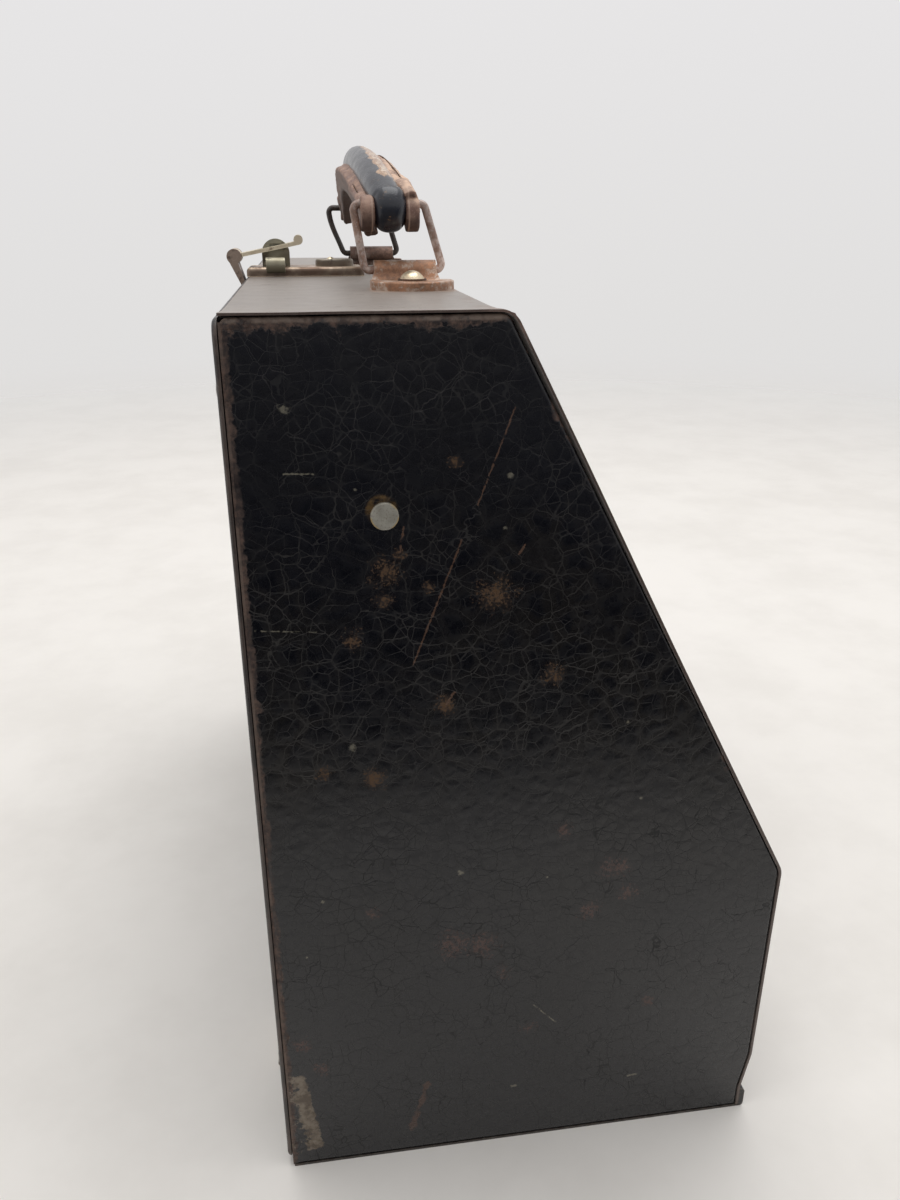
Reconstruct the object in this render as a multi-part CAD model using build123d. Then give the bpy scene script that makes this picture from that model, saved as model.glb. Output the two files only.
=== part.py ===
from build123d import *
import os
from math import asin, atan, degrees

# Portable typewriter case, closed, standing on its rear end with the handle on top.
# Working frame: x runs from the outer face of the base plate towards the sloping cover,
# y across the case from its middle, z up from the floor. Everything is moved along x when it
# is written, so that the box round the whole case is centred on the origin.

# Case
HEIGHT = 300.0            # floor to the top sheet
WIDTH = 362.0             # across the two side panels
TOP_X = 76.4              # where the top sheet meets the slope
REAR_X = 176.4            # outer face of the upright wall under the slope
KINK_Z = 112.9            # where the slope meets that wall
TOP_BEND = 5.0            # outer radius of the bend at the top of the slope
KINK_BEND = 9.0           # outer radius of the bend at the foot of the slope
TUCK_TOP = 27.0           # the wall starts to lean in here
TUCK_LOW = 10.5           # and is upright again here
TUCK_IN = 2.6             # by this much
TUCK_BEND = 14.0
SHEET = 0.9               # steel sheet of the cover
SEAM_ROUND = 1.4          # rounded edge of the side panels
PANEL_CORNER = 2.5        # their corner under the top sheet's end
PAN_FLANGE = 12.0         # flange of a side panel, inside the wrap
HEM = 9.0                 # folded edge round the mouth

# Base
PLATE = 1.4               # base plate
MOUTH_GAP = 0.8           # between base plate and cover
PLATE_DROP = 0.4          # base plate stops this far inside the cover's outline
PLATE_CORNER = 5.0        # its corners, seen from the base's side
PLATE_ROUND = 1.2
RIM = 1.0                 # wall of the rim that enters the mouth
RIM_DEPTH = 12.0
RIM_PLAY = 1.0            # round the rim, inside the hemmed mouth
RIM_LIFT = 4.0            # rim over the floor
BOARD = 9.0               # wooden board
BOARD_PLAY = 0.5
MACHINE_HOLE_R = 3.25     # screws that hold the machine to the board
MACHINE_SPACE_Y = 210.0
MACHINE_SPACE_Z = 190.0
BOARD_SCREW_EDGE = 12.7   # wood screws, from the sides of the board
BOARD_SCREW_ROWS = (0.12, 0.5, 0.88)   # shares of the board's height
SCREW_R = 1.6
SCREW_HEAD_R = 3.6
SCREW_HEAD = 1.3
SCREW_LENGTH = 8.5
GLIDE_R = 7.0
GLIDE_RISE = 2.8
GLIDE_EDGE = 29.2         # from the sides of the plate
GLIDE_INSET = 22.0        # from the ends of the plate

# Bottom hinges
HINGE_INSET = 59.0        # middle of a hinge, from the side panel
HINGE_LEAF = 0.9
HINGE_WIDTH = 30.0
HINGE_REACH = 22.0
KNUCKLE_R = 2.1
HINGE_PIN_R = 0.95
HINGE_OFFSET = 0.3        # between the cover's knuckle and the base plate
HINGE_EYE = 10.8          # width of the middle knuckle
RUNNING = 0.05            # radial clearance of a turning pin
KNUCKLE_GAP = 0.4
SMALL_RIVET_R = 1.25
SMALL_HEAD_R = 2.4
SMALL_HEAD = 0.8

# Handle
EYE_Y = 82.0              # the bails' eyes, each side of the middle
BRACKET_X = 58.6
EYE_WIDTH = 21.4
BRACKET_SHEET = 1.9
FLANGE_SHEET = 2.9        # turned-down rim included
WIRE_R = 1.35             # bail wire
UPRIGHT_BEND = 3.9        # inside radius of the bracket's bend
UPRIGHT_FOOT = 26.0
FLANGE_X = 60.2
FLANGE_WIDTH = 28.0
FLANGE_SIDE = 9.0         # straight side of the flange
FLANGE_BULGE = 9.2        # depth of its curved outer edge
RIVET_X = 60.0
RIVET_OUT = 10.5          # rivet to eye, along y
RIVET_SHANK_R = 2.2
RIVET_HEAD_R = 4.2
RIVET_HEAD = 2.6
WASHER_R = 4.9
WASHER = 0.7
BACKING = 1.2
BAIL_X = 58.4             # middle of a bail's lower bar
BAIL_RISE = 21.2          # lower bar to upper bar
BAIL_LEAN = 5.0           # upper bar, towards the base
BAIL_LOW_HALF = 13.7
BAIL_HIGH_HALF = 12.2
BAIL_BEND = 2.0
BAIL_SPLIT = 0.5
GRIP_SHIFT = 0.35         # grip to the middle of the upper bar
GRIP_WIDTH = 19.4
GRIP_TOP = 50.3           # crest of the grip over the top sheet
GRIP_TILT = 10.5          # degrees from upright, towards the base
GRIP_DROOP = 1.5          # near end of the leather under its bar, far end over it
ROLL_R = 7.6              # at the crest
ROLL_END_HALF = 5.6       # half its width at the ends
ROLL_END_R = 7.4          # half its height at the ends
ROLL_SECTIONS = 7
NOSE_SIDE_R = 6.8         # rounded ends, beside the loops
WELT_LOW = 8.0            # stitched edges, under and over the roll's middle line
WELT_HIGH = 1.0
WELT_IN = 4.4             # width of a stitched edge
WELT_ROUND = 0.9
LOOP_IN = 5.4             # middle of the roll to a loop
LOOP_R = 5.65             # leather loops round the upper bars
LOOP_DROP = 1.55          # middle of a loop, under the bar that runs in its upper half
CORE_WIDTH = 8.0
CORE = 1.0

# Lock
LOCK_Y = 0.0
HASP_AXIS_X = -4.3
HASP_AXIS_UP = 7.7        # over the top sheet
HASP_R = 3.0
HASP_PIN_R = 1.4
HASP_WIDTH = 13.0
HASP_EYE = 5.4            # middle knuckle
HASP_SHEET = 1.5
HASP_REACH = 27.3         # knuckle to curled ends
HASP_CURL_R = 1.9
HASP_RAISED = 11.0        # degrees over level
SLOT_START = 9.6          # the strap is a fork from here on
SLOT_WIDTH = 4.6
LEAF_FOOT = 22.0          # hasp leaf, under the top sheet
LEAF_BEND = 4.0
LOCK_START = 0.6
LOCK_LENGTH = 48.4
LOCK_DEPTH = 24.0
LOCK_RISE = 3.6
LOCK_SHEET = 1.2
LOCK_ROUND = 1.7
STAPLE_X = 12.7
STAPLE_R = 5.7
STAPLE_TOP = 14.5         # over the top sheet
STAPLE_THICK = 3.4
STAPLE_SLIT = 1.1         # slit under the crown of the staple, cut into both of its faces
STAPLE_SLIT_LONG = 5.0
STAPLE_SLIT_UP = 3.3      # over the middle of the arch
STAPLE_SLIT_DEEP = 1.2
TENON = 7.0               # foot of the staple, through plate and top sheet
TENON_THICK = 2.4
SADDLE_WIDTH = 7.6
SADDLE_R = 3.0
SADDLE_TONGUE = 9.4
BOSS_X = 37.0
BOSS_LENGTH = 16.0
BOSS_DEPTH = 8.6
BOSS_RISE = 2.8
BOSS_RIVET_X = 35.4
BOSS_RIVET_R = 1.7

# Side studs and the clips that they hold inside
STUD_X = 41.7
STUD_DROP = 52.6          # under the top sheet
STUD_R = 3.9
STUD_RISE = 1.0
STUD_SHANK_R = 1.8
CLIP = 1.0
CLIP_WIDTH = 14.0
CLIP_FOOT = 16.0
CLIP_STEP = 8.0
CLIP_TAIL = 26.0

# Places that follow from the sizes above
MOUTH_X = PLATE + MOUTH_GAP
HALF = WIDTH / 2
FAR = HEIGHT              # farther than any piece reaches past a cut
HINGE_X = -(KNUCKLE_R + HINGE_OFFSET)
HINGE_Z = SHEET + KNUCKLE_R
HINGE_Y = HALF - HINGE_INSET
STUD_Z = HEIGHT - STUD_DROP
EYE_R = WIRE_R + RUNNING + BRACKET_SHEET
EYE_Z = HEIGHT + BRACKET_SHEET + UPRIGHT_BEND
BAR_Z = EYE_Z + BAIL_RISE
BAR_X = BAIL_X - BAIL_LEAN
GRIP_X = BAR_X + GRIP_SHIFT
CREST_Z = HEIGHT + GRIP_TOP - ROLL_R      # of the grip's middle line, before it is tilted
GRIP_SAG = CREST_Z - BAR_Z
GRIP_RADIUS = (EYE_Y ** 2 + GRIP_SAG ** 2) / (2 * GRIP_SAG)
GRIP_CENTRE_Z = CREST_Z - GRIP_RADIUS
GRIP_HALF_ANGLE = degrees(asin(EYE_Y / GRIP_RADIUS))
GRIP_SLOPE = degrees(atan(GRIP_DROOP / EYE_Y))
HASP_AXIS_Z = HEIGHT + HASP_AXIS_UP
LOCK_TOP = HEIGHT + LOCK_RISE
LOCK_NEAR_Y = LOCK_Y - LOCK_DEPTH / 2
INSIDE_TOP = HEIGHT - SHEET
RIM_TOP = HEIGHT - 2 * SHEET - RIM_PLAY
RIM_HALF = HALF - 2 * SHEET - RIM_PLAY
PLATE_TOP = HEIGHT - PLATE_DROP
PLATE_LOW = SHEET + HINGE_LEAF + KNUCKLE_GAP
PLATE_HALF = HALF - PLATE_DROP
GLIDE_Y = PLATE_HALF - GLIDE_EDGE
BOARD_LOW = RIM_LIFT + RIM + BOARD_PLAY
BOARD_TOP = RIM_TOP - RIM - BOARD_PLAY
BOARD_HALF = RIM_HALF - RIM - BOARD_PLAY
BOARD_SCREW_Y = BOARD_HALF - BOARD_SCREW_EDGE
BOX_LOW_X = HASP_AXIS_X - HASP_R
BOX_HIGH_X = REAR_X
MIDDLE_X = (BOX_LOW_X + BOX_HIGH_X) / 2


def along_y(section, low, high):
    """A section drawn in x and z, carried from y = low to y = high."""
    plane = Plane(origin=(0, high, 0), x_dir=(1, 0, 0), z_dir=(0, -1, 0))
    return extrude(plane * section, amount=high - low)


def along_x(section, low, high):
    """A section drawn in y and z, carried from x = low to x = high."""
    plane = Plane(origin=(low, 0, 0), x_dir=(0, 1, 0), z_dir=(1, 0, 0))
    return extrude(plane * section, amount=high - low)


def block(x, y, z):
    """A block between the two ends given for each axis."""
    size = [high - low for low, high in (x, y, z)]
    return Pos(x[0], y[0], z[0]) * Box(*size, align=(Align.MIN, Align.MIN, Align.MIN))


def rect(u, v):
    """A flat rectangle between two ends on each axis."""
    shape = Rectangle(u[1] - u[0], v[1] - v[0], align=(Align.MIN, Align.MIN))
    return Pos(u[0], v[0]) * shape


def rod_x(radius, low, high, y, z):
    """A round bar along x."""
    return along_x(Pos(y, z) * Circle(radius), low, high)


def rod_y(radius, low, high, x, z):
    """A round bar along y."""
    return along_y(Pos(x, z) * Circle(radius), low, high)


def rod_z(radius, low, high, x, y):
    """A round bar along z."""
    return Pos(x, y, low) * Cylinder(radius, high - low, align=(Align.CENTER, Align.CENTER, Align.MIN))


def dome_z(radius, rise, x, y, z):
    """A domed rivet head standing on the level z."""
    ball = (radius ** 2 + rise ** 2) / (2 * rise)
    cap = Pos(x, y, z + rise - ball) * Sphere(ball)
    return cap & rod_z(radius, z, z + rise + 1, x, y)


def far_side(shape):
    """The same piece on the other side of the case's middle."""
    return mirror(shape, about=Plane.XZ)


def skin(inset=0.0):
    """Side view of the cover's outside, moved inwards, running on past the mouth and the floor."""
    foot_x = REAR_X - TUCK_IN
    points = [(-FAR, HEIGHT), (TOP_X, HEIGHT), (REAR_X, KINK_Z), (REAR_X, TUCK_TOP),
              (foot_x, TUCK_LOW), (foot_x, -FAR)]
    bends = [TOP_BEND, KINK_BEND, TUCK_BEND, TUCK_BEND]
    edge = FilletPolyline(*points, radius=bends)
    close = Polyline(points[-1], (-FAR, -FAR), points[0])
    face = make_face(Wire([*edge.edges(), *close.edges()]))
    return offset(face, amount=-inset) if inset else face


def inside(low_x, low_z):
    """Everything right of low_x and above low_z."""
    return rect((low_x, FAR), (low_z, 2 * FAR))


def cover_wrap():
    """Top, slope and rear wall in one bent sheet, its edge folded back under the mouth."""
    band = (skin() - skin(SHEET)) & inside(MOUTH_X, SHEET)
    wrap = along_y(band, -HALF, HALF)
    fold = (skin(SHEET) - skin(2 * SHEET)) & rect((MOUTH_X, MOUTH_X + HEM), (FAR / 2, 2 * FAR))
    wrap += along_y(fold, PAN_FLANGE - HALF, HALF - PAN_FLANGE)
    for side in (-1, 1):
        wrap -= rod_z(RIVET_SHANK_R, 0, 2 * FAR, RIVET_X, side * (EYE_Y + RIVET_OUT))
    wrap -= rod_z(SMALL_RIVET_R, 0, 2 * FAR, BOSS_RIVET_X, LOCK_Y)
    return wrap - staple_tenon()


def bottom_plate():
    """Flat sheet under the case, its rear edge folded double outside the wrap's foot."""
    foot_x = REAR_X - TUCK_IN
    lip_x = REAR_X - 0.5
    lip_top = TUCK_LOW - 1.6
    lip = [(lip_x, 0), (lip_x, lip_top), (foot_x, lip_top), (foot_x, SHEET)]
    points = [(MOUTH_X, 0), *lip, (MOUTH_X, SHEET)]
    face = make_face(Polyline(*points, close=True))
    rounds = [v for v in face.vertices() if abs(v.X - lip_x) < 0.01]
    face = fillet(rounds, 1.6)
    plate = along_y(face, -HALF, HALF)
    for side in (-1, 1):
        for x, y in hinge_rivet_places(side):
            plate -= rod_z(SMALL_RIVET_R, -1, SHEET + 1, x, y)
    return plate


def side_panel():
    """Near side panel: a shallow pan whose flange lies inside the wrap."""
    outer = skin(SHEET) & inside(MOUTH_X, SHEET)
    corner = [v for v in outer.vertices() if v.X < MOUTH_X + 0.01 and v.Y > HEIGHT / 2]
    outer = fillet(corner, PANEL_CORNER)
    body = along_y(outer, -HALF, -HALF + PAN_FLANGE)
    edges = body.faces().sort_by(Axis.Y)[0].edges()
    body = fillet(edges, SEAM_ROUND)
    hollow = skin(2 * SHEET) & inside(-FAR, 2 * SHEET)
    body -= along_y(hollow, -HALF + SHEET, HALF)
    fold = rect((MOUTH_X, MOUTH_X + HEM), (2 * SHEET, HEIGHT - 2 * SHEET))
    body += along_y(fold, -HALF + SHEET, -HALF + 2 * SHEET)
    return body - rod_y(STUD_SHANK_R, -FAR, 0, STUD_X, STUD_Z)


def side_stud():
    """Near flat-headed stud, clinched over the clip inside."""
    head = rod_y(STUD_R, -HALF - STUD_RISE, -HALF, STUD_X, STUD_Z)
    head = fillet(head.faces().sort_by(Axis.Y)[0].edges(), 0.35)
    inner = -HALF + SHEET + CLIP
    shank = rod_y(STUD_SHANK_R, -HALF, inner, STUD_X, STUD_Z)
    return head + shank + rod_y(STUD_SHANK_R + 1.2, inner, inner + 0.8, STUD_X, STUD_Z)


def hold_clip():
    """Near spring clip inside the side panel: foot under the stud, step, and a tail."""
    wall = -HALF + SHEET
    low = STUD_Z - CLIP_FOOT / 2
    top = STUD_Z + CLIP_FOOT / 2
    step = wall + CLIP_STEP
    line = [(wall, top), (wall, low), (step, low - CLIP_STEP), (step, low - CLIP_STEP - CLIP_TAIL)]
    back = [(step + CLIP, line[3][1]), (step + CLIP, line[2][1] + 0.4 * CLIP),
            (wall + CLIP, low + 0.4 * CLIP), (wall + CLIP, top)]
    strip = make_face(Polyline(*line, *back, close=True))
    clip = along_x(strip, STUD_X - CLIP_WIDTH / 2, STUD_X + CLIP_WIDTH / 2)
    return clip - rod_y(STUD_SHANK_R, -FAR, 0, STUD_X, STUD_Z)


def hinge_rivet_places(side):
    """Rivets of one bottom hinge, in x and y."""
    middle = side * HINGE_Y
    reach = MOUTH_X + 0.7 * HINGE_REACH
    near = MOUTH_X + 0.3 * HINGE_REACH
    return [(near, middle - HINGE_WIDTH / 3), (near, middle + HINGE_WIDTH / 3), (reach, middle)]


def cover_leaf():
    """Near hinge leaf on the bottom plate, with the middle knuckle."""
    low, high = SHEET, SHEET + HINGE_LEAF
    y = -HINGE_Y
    leaf = block((MOUTH_X, MOUTH_X + HINGE_REACH), (y - HINGE_WIDTH / 2, y + HINGE_WIDTH / 2), (low, high))
    leaf = fillet(leaf.edges().filter_by(Axis.Z).sort_by(Axis.X)[-2:], 4)
    leaf += block((HINGE_X, MOUTH_X + 1), (y - HINGE_EYE / 2, y + HINGE_EYE / 2), (low, high))
    leaf += rod_y(KNUCKLE_R, y - HINGE_EYE / 2, y + HINGE_EYE / 2, HINGE_X, HINGE_Z)
    leaf -= rod_y(HINGE_PIN_R, -FAR, 0, HINGE_X, HINGE_Z)
    for x, place in hinge_rivet_places(-1):
        leaf -= rod_z(SMALL_RIVET_R, 0, high + 1, x, place)
    return leaf


def cover_leaf_rivets():
    """Rivets of both cover leaves, flush under the bottom plate."""
    top = SHEET + HINGE_LEAF
    rivets = []
    for side in (-1, 1):
        for x, y in hinge_rivet_places(side):
            rivets.append(rod_z(SMALL_RIVET_R, 0, top, x, y) + dome_z(SMALL_HEAD_R, SMALL_HEAD, x, y, top))
    return Compound(rivets)


def hinge_pin():
    """Near hinge pin, as long as its three knuckles."""
    return rod_y(HINGE_PIN_R, -HINGE_Y - HINGE_WIDTH / 2, -HINGE_Y + HINGE_WIDTH / 2, HINGE_X, HINGE_Z)


def base_leaf_places(side):
    """Rivets of one base leaf, in y and z."""
    middle = side * HINGE_Y
    low = HINGE_Z + 0.45 * HINGE_REACH
    high = HINGE_Z + 0.8 * HINGE_REACH
    return [(middle - HINGE_WIDTH / 3, low), (middle + HINGE_WIDTH / 3, low), (middle, high)]


def base_leaf():
    """Near hinge leaf on the base plate, with the two outer knuckles."""
    y = -HINGE_Y
    sides = (y - HINGE_WIDTH / 2, y + HINGE_WIDTH / 2)
    leaf = block((-HINGE_LEAF, 0), sides, (HINGE_Z, HINGE_Z + HINGE_REACH))
    leaf = fillet(leaf.edges().filter_by(Axis.X).sort_by(Axis.Z)[-2:], 4)
    leaf += rod_y(KNUCKLE_R, *sides, HINGE_X, HINGE_Z)
    clear = HINGE_EYE / 2 + KNUCKLE_GAP
    reach = KNUCKLE_R + KNUCKLE_GAP
    window = (y - clear, y + clear)
    leaf -= block((HINGE_X - reach, 1), window, (HINGE_Z - reach, HINGE_Z + reach))
    leaf -= rod_y(HINGE_PIN_R + RUNNING, -FAR, 0, HINGE_X, HINGE_Z)
    for place, z in base_leaf_places(-1):
        leaf -= rod_x(SMALL_RIVET_R, -FAR, FAR, place, z)
    return leaf


def rivet_x(y, z, leaf):
    """Small rivet through the base plate, with its head outside a leaf of this thickness."""
    shank = rod_x(SMALL_RIVET_R, -leaf, PLATE, y, z)
    head = Rot(0, -90, 0) * dome_z(SMALL_HEAD_R, SMALL_HEAD, 0, 0, 0)
    return shank + Pos(-leaf, y, z) * head


def base_leaf_rivets():
    """Rivets of both base leaves, heads outside."""
    places = base_leaf_places(-1) + base_leaf_places(1)
    return Compound([rivet_x(y, z, HINGE_LEAF) for y, z in places])


def machine_holes():
    """Places of the screws that hold the machine down, in y and z."""
    middle = (BOARD_LOW + BOARD_TOP) / 2
    return [(i * MACHINE_SPACE_Y / 2, middle + j * MACHINE_SPACE_Z / 2) for i in (-1, 1) for j in (-1, 1)]


def board_screw_places():
    """Places of the wood screws, in y and z."""
    span = BOARD_TOP - BOARD_LOW
    return [(i * BOARD_SCREW_Y, BOARD_LOW + share * span) for i in (-1, 1) for share in BOARD_SCREW_ROWS]


def hasp_leaf_places():
    """Rivets of the hasp's leaf, in y and z."""
    z = HEIGHT - LEAF_FOOT + 5
    return [(LOCK_Y - HASP_WIDTH / 4, z), (LOCK_Y + HASP_WIDTH / 4, z), (LOCK_Y, z + 8)]


def base_tray():
    """Base plate with the rim that enters the mouth of the cover."""
    plate = block((0, PLATE), (-PLATE_HALF, PLATE_HALF), (PLATE_LOW, PLATE_TOP))
    plate = fillet(plate.edges().filter_by(Axis.X), PLATE_CORNER)
    plate = fillet(plate.faces().sort_by(Axis.X)[0].edges(), PLATE_ROUND)
    rim = block((PLATE, PLATE + RIM_DEPTH), (-RIM_HALF, RIM_HALF), (RIM_LIFT, RIM_TOP))
    rim = fillet(rim.edges().filter_by(Axis.X), 5)
    inner = (-RIM_HALF + RIM, RIM_HALF - RIM)
    hollow = block((PLATE, PLATE + RIM_DEPTH), inner, (RIM_LIFT + RIM, RIM_TOP - RIM))
    tray = plate + (rim - fillet(hollow.edges().filter_by(Axis.X), 5 - RIM))
    for y, z in machine_holes():
        tray -= rod_x(MACHINE_HOLE_R, -FAR, FAR, y, z)
    for y, z in board_screw_places():
        tray -= rod_x(SCREW_R, -FAR, FAR, y, z)
    for y, z in base_leaf_places(-1) + base_leaf_places(1) + hasp_leaf_places():
        tray -= rod_x(SMALL_RIVET_R, -FAR, FAR, y, z)
    return tray


def base_board():
    """Wooden board inside the rim, drilled for the machine's screws."""
    board = block((PLATE, PLATE + BOARD), (-BOARD_HALF, BOARD_HALF), (BOARD_LOW, BOARD_TOP))
    board = fillet(board.edges().filter_by(Axis.X), 5)
    for y, z in machine_holes():
        board -= rod_x(MACHINE_HOLE_R, -FAR, FAR, y, z)
    for y, z in board_screw_places():
        board -= rod_x(SCREW_R, 0, SCREW_LENGTH, y, z)
    return board


def board_screws():
    """Wood screws from outside, through the plate into the board."""
    screws = []
    for y, z in board_screw_places():
        head = Rot(0, -90, 0) * dome_z(SCREW_HEAD_R, SCREW_HEAD, 0, 0, 0)
        head -= block((-2 * SCREW_HEAD, -0.55 * SCREW_HEAD), (-FAR, FAR), (-0.4, 0.4))
        screws.append(Pos(0, y, z) * head + rod_x(SCREW_R, 0, SCREW_LENGTH, y, z))
    return Compound(screws)


def glides():
    """Four domed glides on the outside of the base plate."""
    studs = []
    for y in (-GLIDE_Y, GLIDE_Y):
        for z in (PLATE_LOW + GLIDE_INSET, PLATE_TOP - GLIDE_INSET):
            head = Rot(0, -90, 0) * dome_z(GLIDE_R, GLIDE_RISE, 0, 0, 0)
            studs.append(Pos(0, y, z) * head)
    return Compound(studs)


def handle_bracket():
    """Near bracket: rounded flange, curved upright and the eye for the bail."""
    bend_y = -EYE_Y - EYE_R - UPRIGHT_BEND
    back = UPRIGHT_BEND + BRACKET_SHEET
    side = (FLANGE_X - FLANGE_WIDTH / 2, FLANGE_X + FLANGE_WIDTH / 2)
    inner_y = bend_y + FLANGE_SIDE / 2
    outer_y = inner_y - FLANGE_SIDE
    edge = ThreePointArc((side[0], outer_y), (FLANGE_X, outer_y - FLANGE_BULGE), (side[1], outer_y))
    rest = Polyline((side[1], outer_y), (side[1], inner_y), (side[0], inner_y), (side[0], outer_y))
    flange = extrude(make_face(Wire([*edge.edges(), *rest.edges()])), amount=FLANGE_SHEET)
    flange = fillet(flange.faces().sort_by(Axis.Z)[-1].edges().sort_by(Axis.Y)[0], 0.6)
    flange = Pos(0, 0, HEIGHT) * flange
    bend = Circle(back) - Circle(UPRIGHT_BEND)
    quarter = Pos(bend_y, EYE_Z) * (bend & rect((0, back), (-back, 0)))
    upright = along_x(quarter, side[0], side[1])
    slant = (UPRIGHT_FOOT - EYE_WIDTH) / 2
    low, high = HEIGHT, EYE_Z
    left, right = BRACKET_X - EYE_WIDTH / 2, BRACKET_X + EYE_WIDTH / 2
    taper = Polyline((left - slant, low), (right + slant, low), (right, high), (left, high), close=True)
    upright &= along_y(make_face(taper), -2 * EYE_Y - HALF, 0)
    eye = along_x(Pos(-EYE_Y, EYE_Z) * Circle(EYE_R), left, right)
    bracket = flange + upright + eye
    bracket -= rod_x(WIRE_R + RUNNING, 0, FAR, -EYE_Y, EYE_Z)
    return bracket - rod_z(RIVET_SHANK_R, 0, 2 * FAR, RIVET_X, -EYE_Y - RIVET_OUT)


def bracket_washer():
    """Near washer under the rivet's head."""
    y = -EYE_Y - RIVET_OUT
    low = HEIGHT + FLANGE_SHEET
    ring = rod_z(WASHER_R, low, low + WASHER, RIVET_X, y)
    ring &= block((0, FAR), (-FAR, -EYE_Y - EYE_R - UPRIGHT_BEND), (0, 2 * FAR))
    return ring - rod_z(RIVET_SHANK_R, 0, 2 * FAR, RIVET_X, y)


def backing_plate():
    """Near plate inside the top sheet, under the bracket."""
    y = -EYE_Y - RIVET_OUT
    low = INSIDE_TOP - BACKING
    plate = block((RIVET_X - 13, RIVET_X + 10), (y - 9, y + 9), (low, INSIDE_TOP))
    plate = fillet(plate.edges().filter_by(Axis.Z), 3)
    return plate - rod_z(RIVET_SHANK_R, 0, 2 * FAR, RIVET_X, y)


def bracket_rivets():
    """Domed rivets through washers, brackets, top sheet and backing plates."""
    rivets = []
    for side in (-1, 1):
        y = side * (EYE_Y + RIVET_OUT)
        low = INSIDE_TOP - BACKING
        high = HEIGHT + FLANGE_SHEET + WASHER
        shank = rod_z(RIVET_SHANK_R, low, high, RIVET_X, y)
        tail = rod_z(RIVET_SHANK_R + 1.4, low - 1.0, low, RIVET_X, y)
        rivets.append(shank + tail + dome_z(RIVET_HEAD_R, RIVET_HEAD, RIVET_X, y, high))
    return Compound(rivets)


def bail():
    """Near bail: a wire loop whose ends meet inside the bracket's eye."""
    low = [(BAIL_X + i * BAIL_LOW_HALF, EYE_Z) for i in (-1, 1)]
    high = [(BAR_X + i * BAIL_HIGH_HALF, BAR_Z) for i in (-1, 1)]
    gap = BAIL_SPLIT / 2
    points = [(BRACKET_X - gap, EYE_Z), low[0], high[0], high[1], low[1], (BRACKET_X + gap, EYE_Z)]
    path = FilletPolyline(*points, radius=BAIL_BEND)
    plane = Plane(origin=(0, -EYE_Y, 0), x_dir=(1, 0, 0), z_dir=(0, -1, 0))
    path = plane * path
    start = Plane(origin=(BRACKET_X - gap, -EYE_Y, EYE_Z), x_dir=(0, 1, 0), z_dir=(-1, 0, 0))
    return sweep(start * Circle(WIRE_R), path=path)


def at_crest(section):
    """A section drawn in x from the grip's middle and in height from its middle line."""
    return Plane(origin=(GRIP_X, 0, CREST_Z), x_dir=(1, 0, 0), z_dir=(0, -1, 0)) * section


def grip_axis():
    """Line that the grip's arch is drawn round."""
    return Axis((GRIP_X, 0, GRIP_CENTRE_Z), (1, 0, 0))


def leaning(shape):
    """Turn the grip's arch about the line through both bars, towards the base."""
    return shape.rotate(Axis((GRIP_X, 0, BAR_Z), (0, 1, 0)), -GRIP_TILT)


def drooping(shape):
    """Let the near end of the grip hang a little lower than its far end."""
    return shape.rotate(Axis((GRIP_X, 0, BAR_Z), (1, 0, 0)), GRIP_SLOPE)


def arch(section):
    """A section carried from bar to bar along the grip's arch."""
    face = at_crest(section).rotate(grip_axis(), -GRIP_HALF_ANGLE)
    return leaning(revolve(face, axis=grip_axis(), revolution_arc=2 * GRIP_HALF_ANGLE))


def at_bars(make):
    """Whatever make gives for the near bar and for the far bar, joined."""
    return make(-EYE_Y) + make(EYE_Y)


def bar_holes():
    """Room for both upper bars to turn."""
    return at_bars(lambda y: rod_x(WIRE_R + RUNNING, 0, FAR, y, BAR_Z))


def grip_core():
    """Spring-steel strip inside the grip, curled round both bars."""
    half = CORE_WIDTH / 2
    strip = drooping(arch(Rectangle(CORE_WIDTH, CORE)))
    curl = WIRE_R + RUNNING + CORE
    strip += at_bars(lambda y: rod_x(curl, GRIP_X - half, GRIP_X + half, y, BAR_Z))
    return strip - bar_holes()


def roll_body():
    """Round roll along the arch, thickest at the crest."""
    sections = []
    for i in range(ROLL_SECTIONS):
        share = 2 * i / (ROLL_SECTIONS - 1) - 1
        half = ROLL_R - (ROLL_R - ROLL_END_HALF) * share ** 2
        rise = ROLL_R - (ROLL_R - ROLL_END_R) * share ** 2
        section = at_crest(Ellipse(half, rise))
        sections.append(section.rotate(grip_axis(), share * GRIP_HALF_ANGLE))
    return leaning(loft(sections))


def nose(y):
    """Rounded end of the roll between its loops, turned about the bar at y."""
    edge = ThreePointArc((-LOOP_IN, NOSE_SIDE_R), (0, ROLL_END_R), (LOOP_IN, NOSE_SIDE_R))
    rest = Polyline((LOOP_IN, NOSE_SIDE_R), (LOOP_IN, 0), (-LOOP_IN, 0), (-LOOP_IN, NOSE_SIDE_R))
    half = make_face(Wire([*edge.edges(), *rest.edges()]))
    return Pos(GRIP_X, y, BAR_Z) * revolve(half, axis=Axis.X)


def loops(side):
    """Leather loops round both bars on one side of the roll."""
    span = sorted([GRIP_X + side * GRIP_WIDTH / 2, GRIP_X + side * LOOP_IN])
    return at_bars(lambda y: rod_x(LOOP_R, *span, y, BAR_Z - LOOP_DROP))


def grip_roll():
    """Leather roll over the core, with rounded ends over the bars."""
    roll = roll_body() - loops(-1) - loops(1) + at_bars(nose)
    return drooping(roll) - bar_holes() - grip_core()


def grip_welt(side):
    """Stitched leather edge along one side of the roll, looped round both bars."""
    outer = side * GRIP_WIDTH / 2
    inner = outer - side * WELT_IN
    edge = rect(sorted([outer, inner]), (-WELT_LOW, WELT_HIGH))
    edge = fillet([v for v in edge.vertices() if abs(v.X - outer) < 0.01], WELT_ROUND)
    welt = arch(edge) - roll_body() - at_bars(nose) + loops(side)
    return drooping(welt) - bar_holes()


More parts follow.
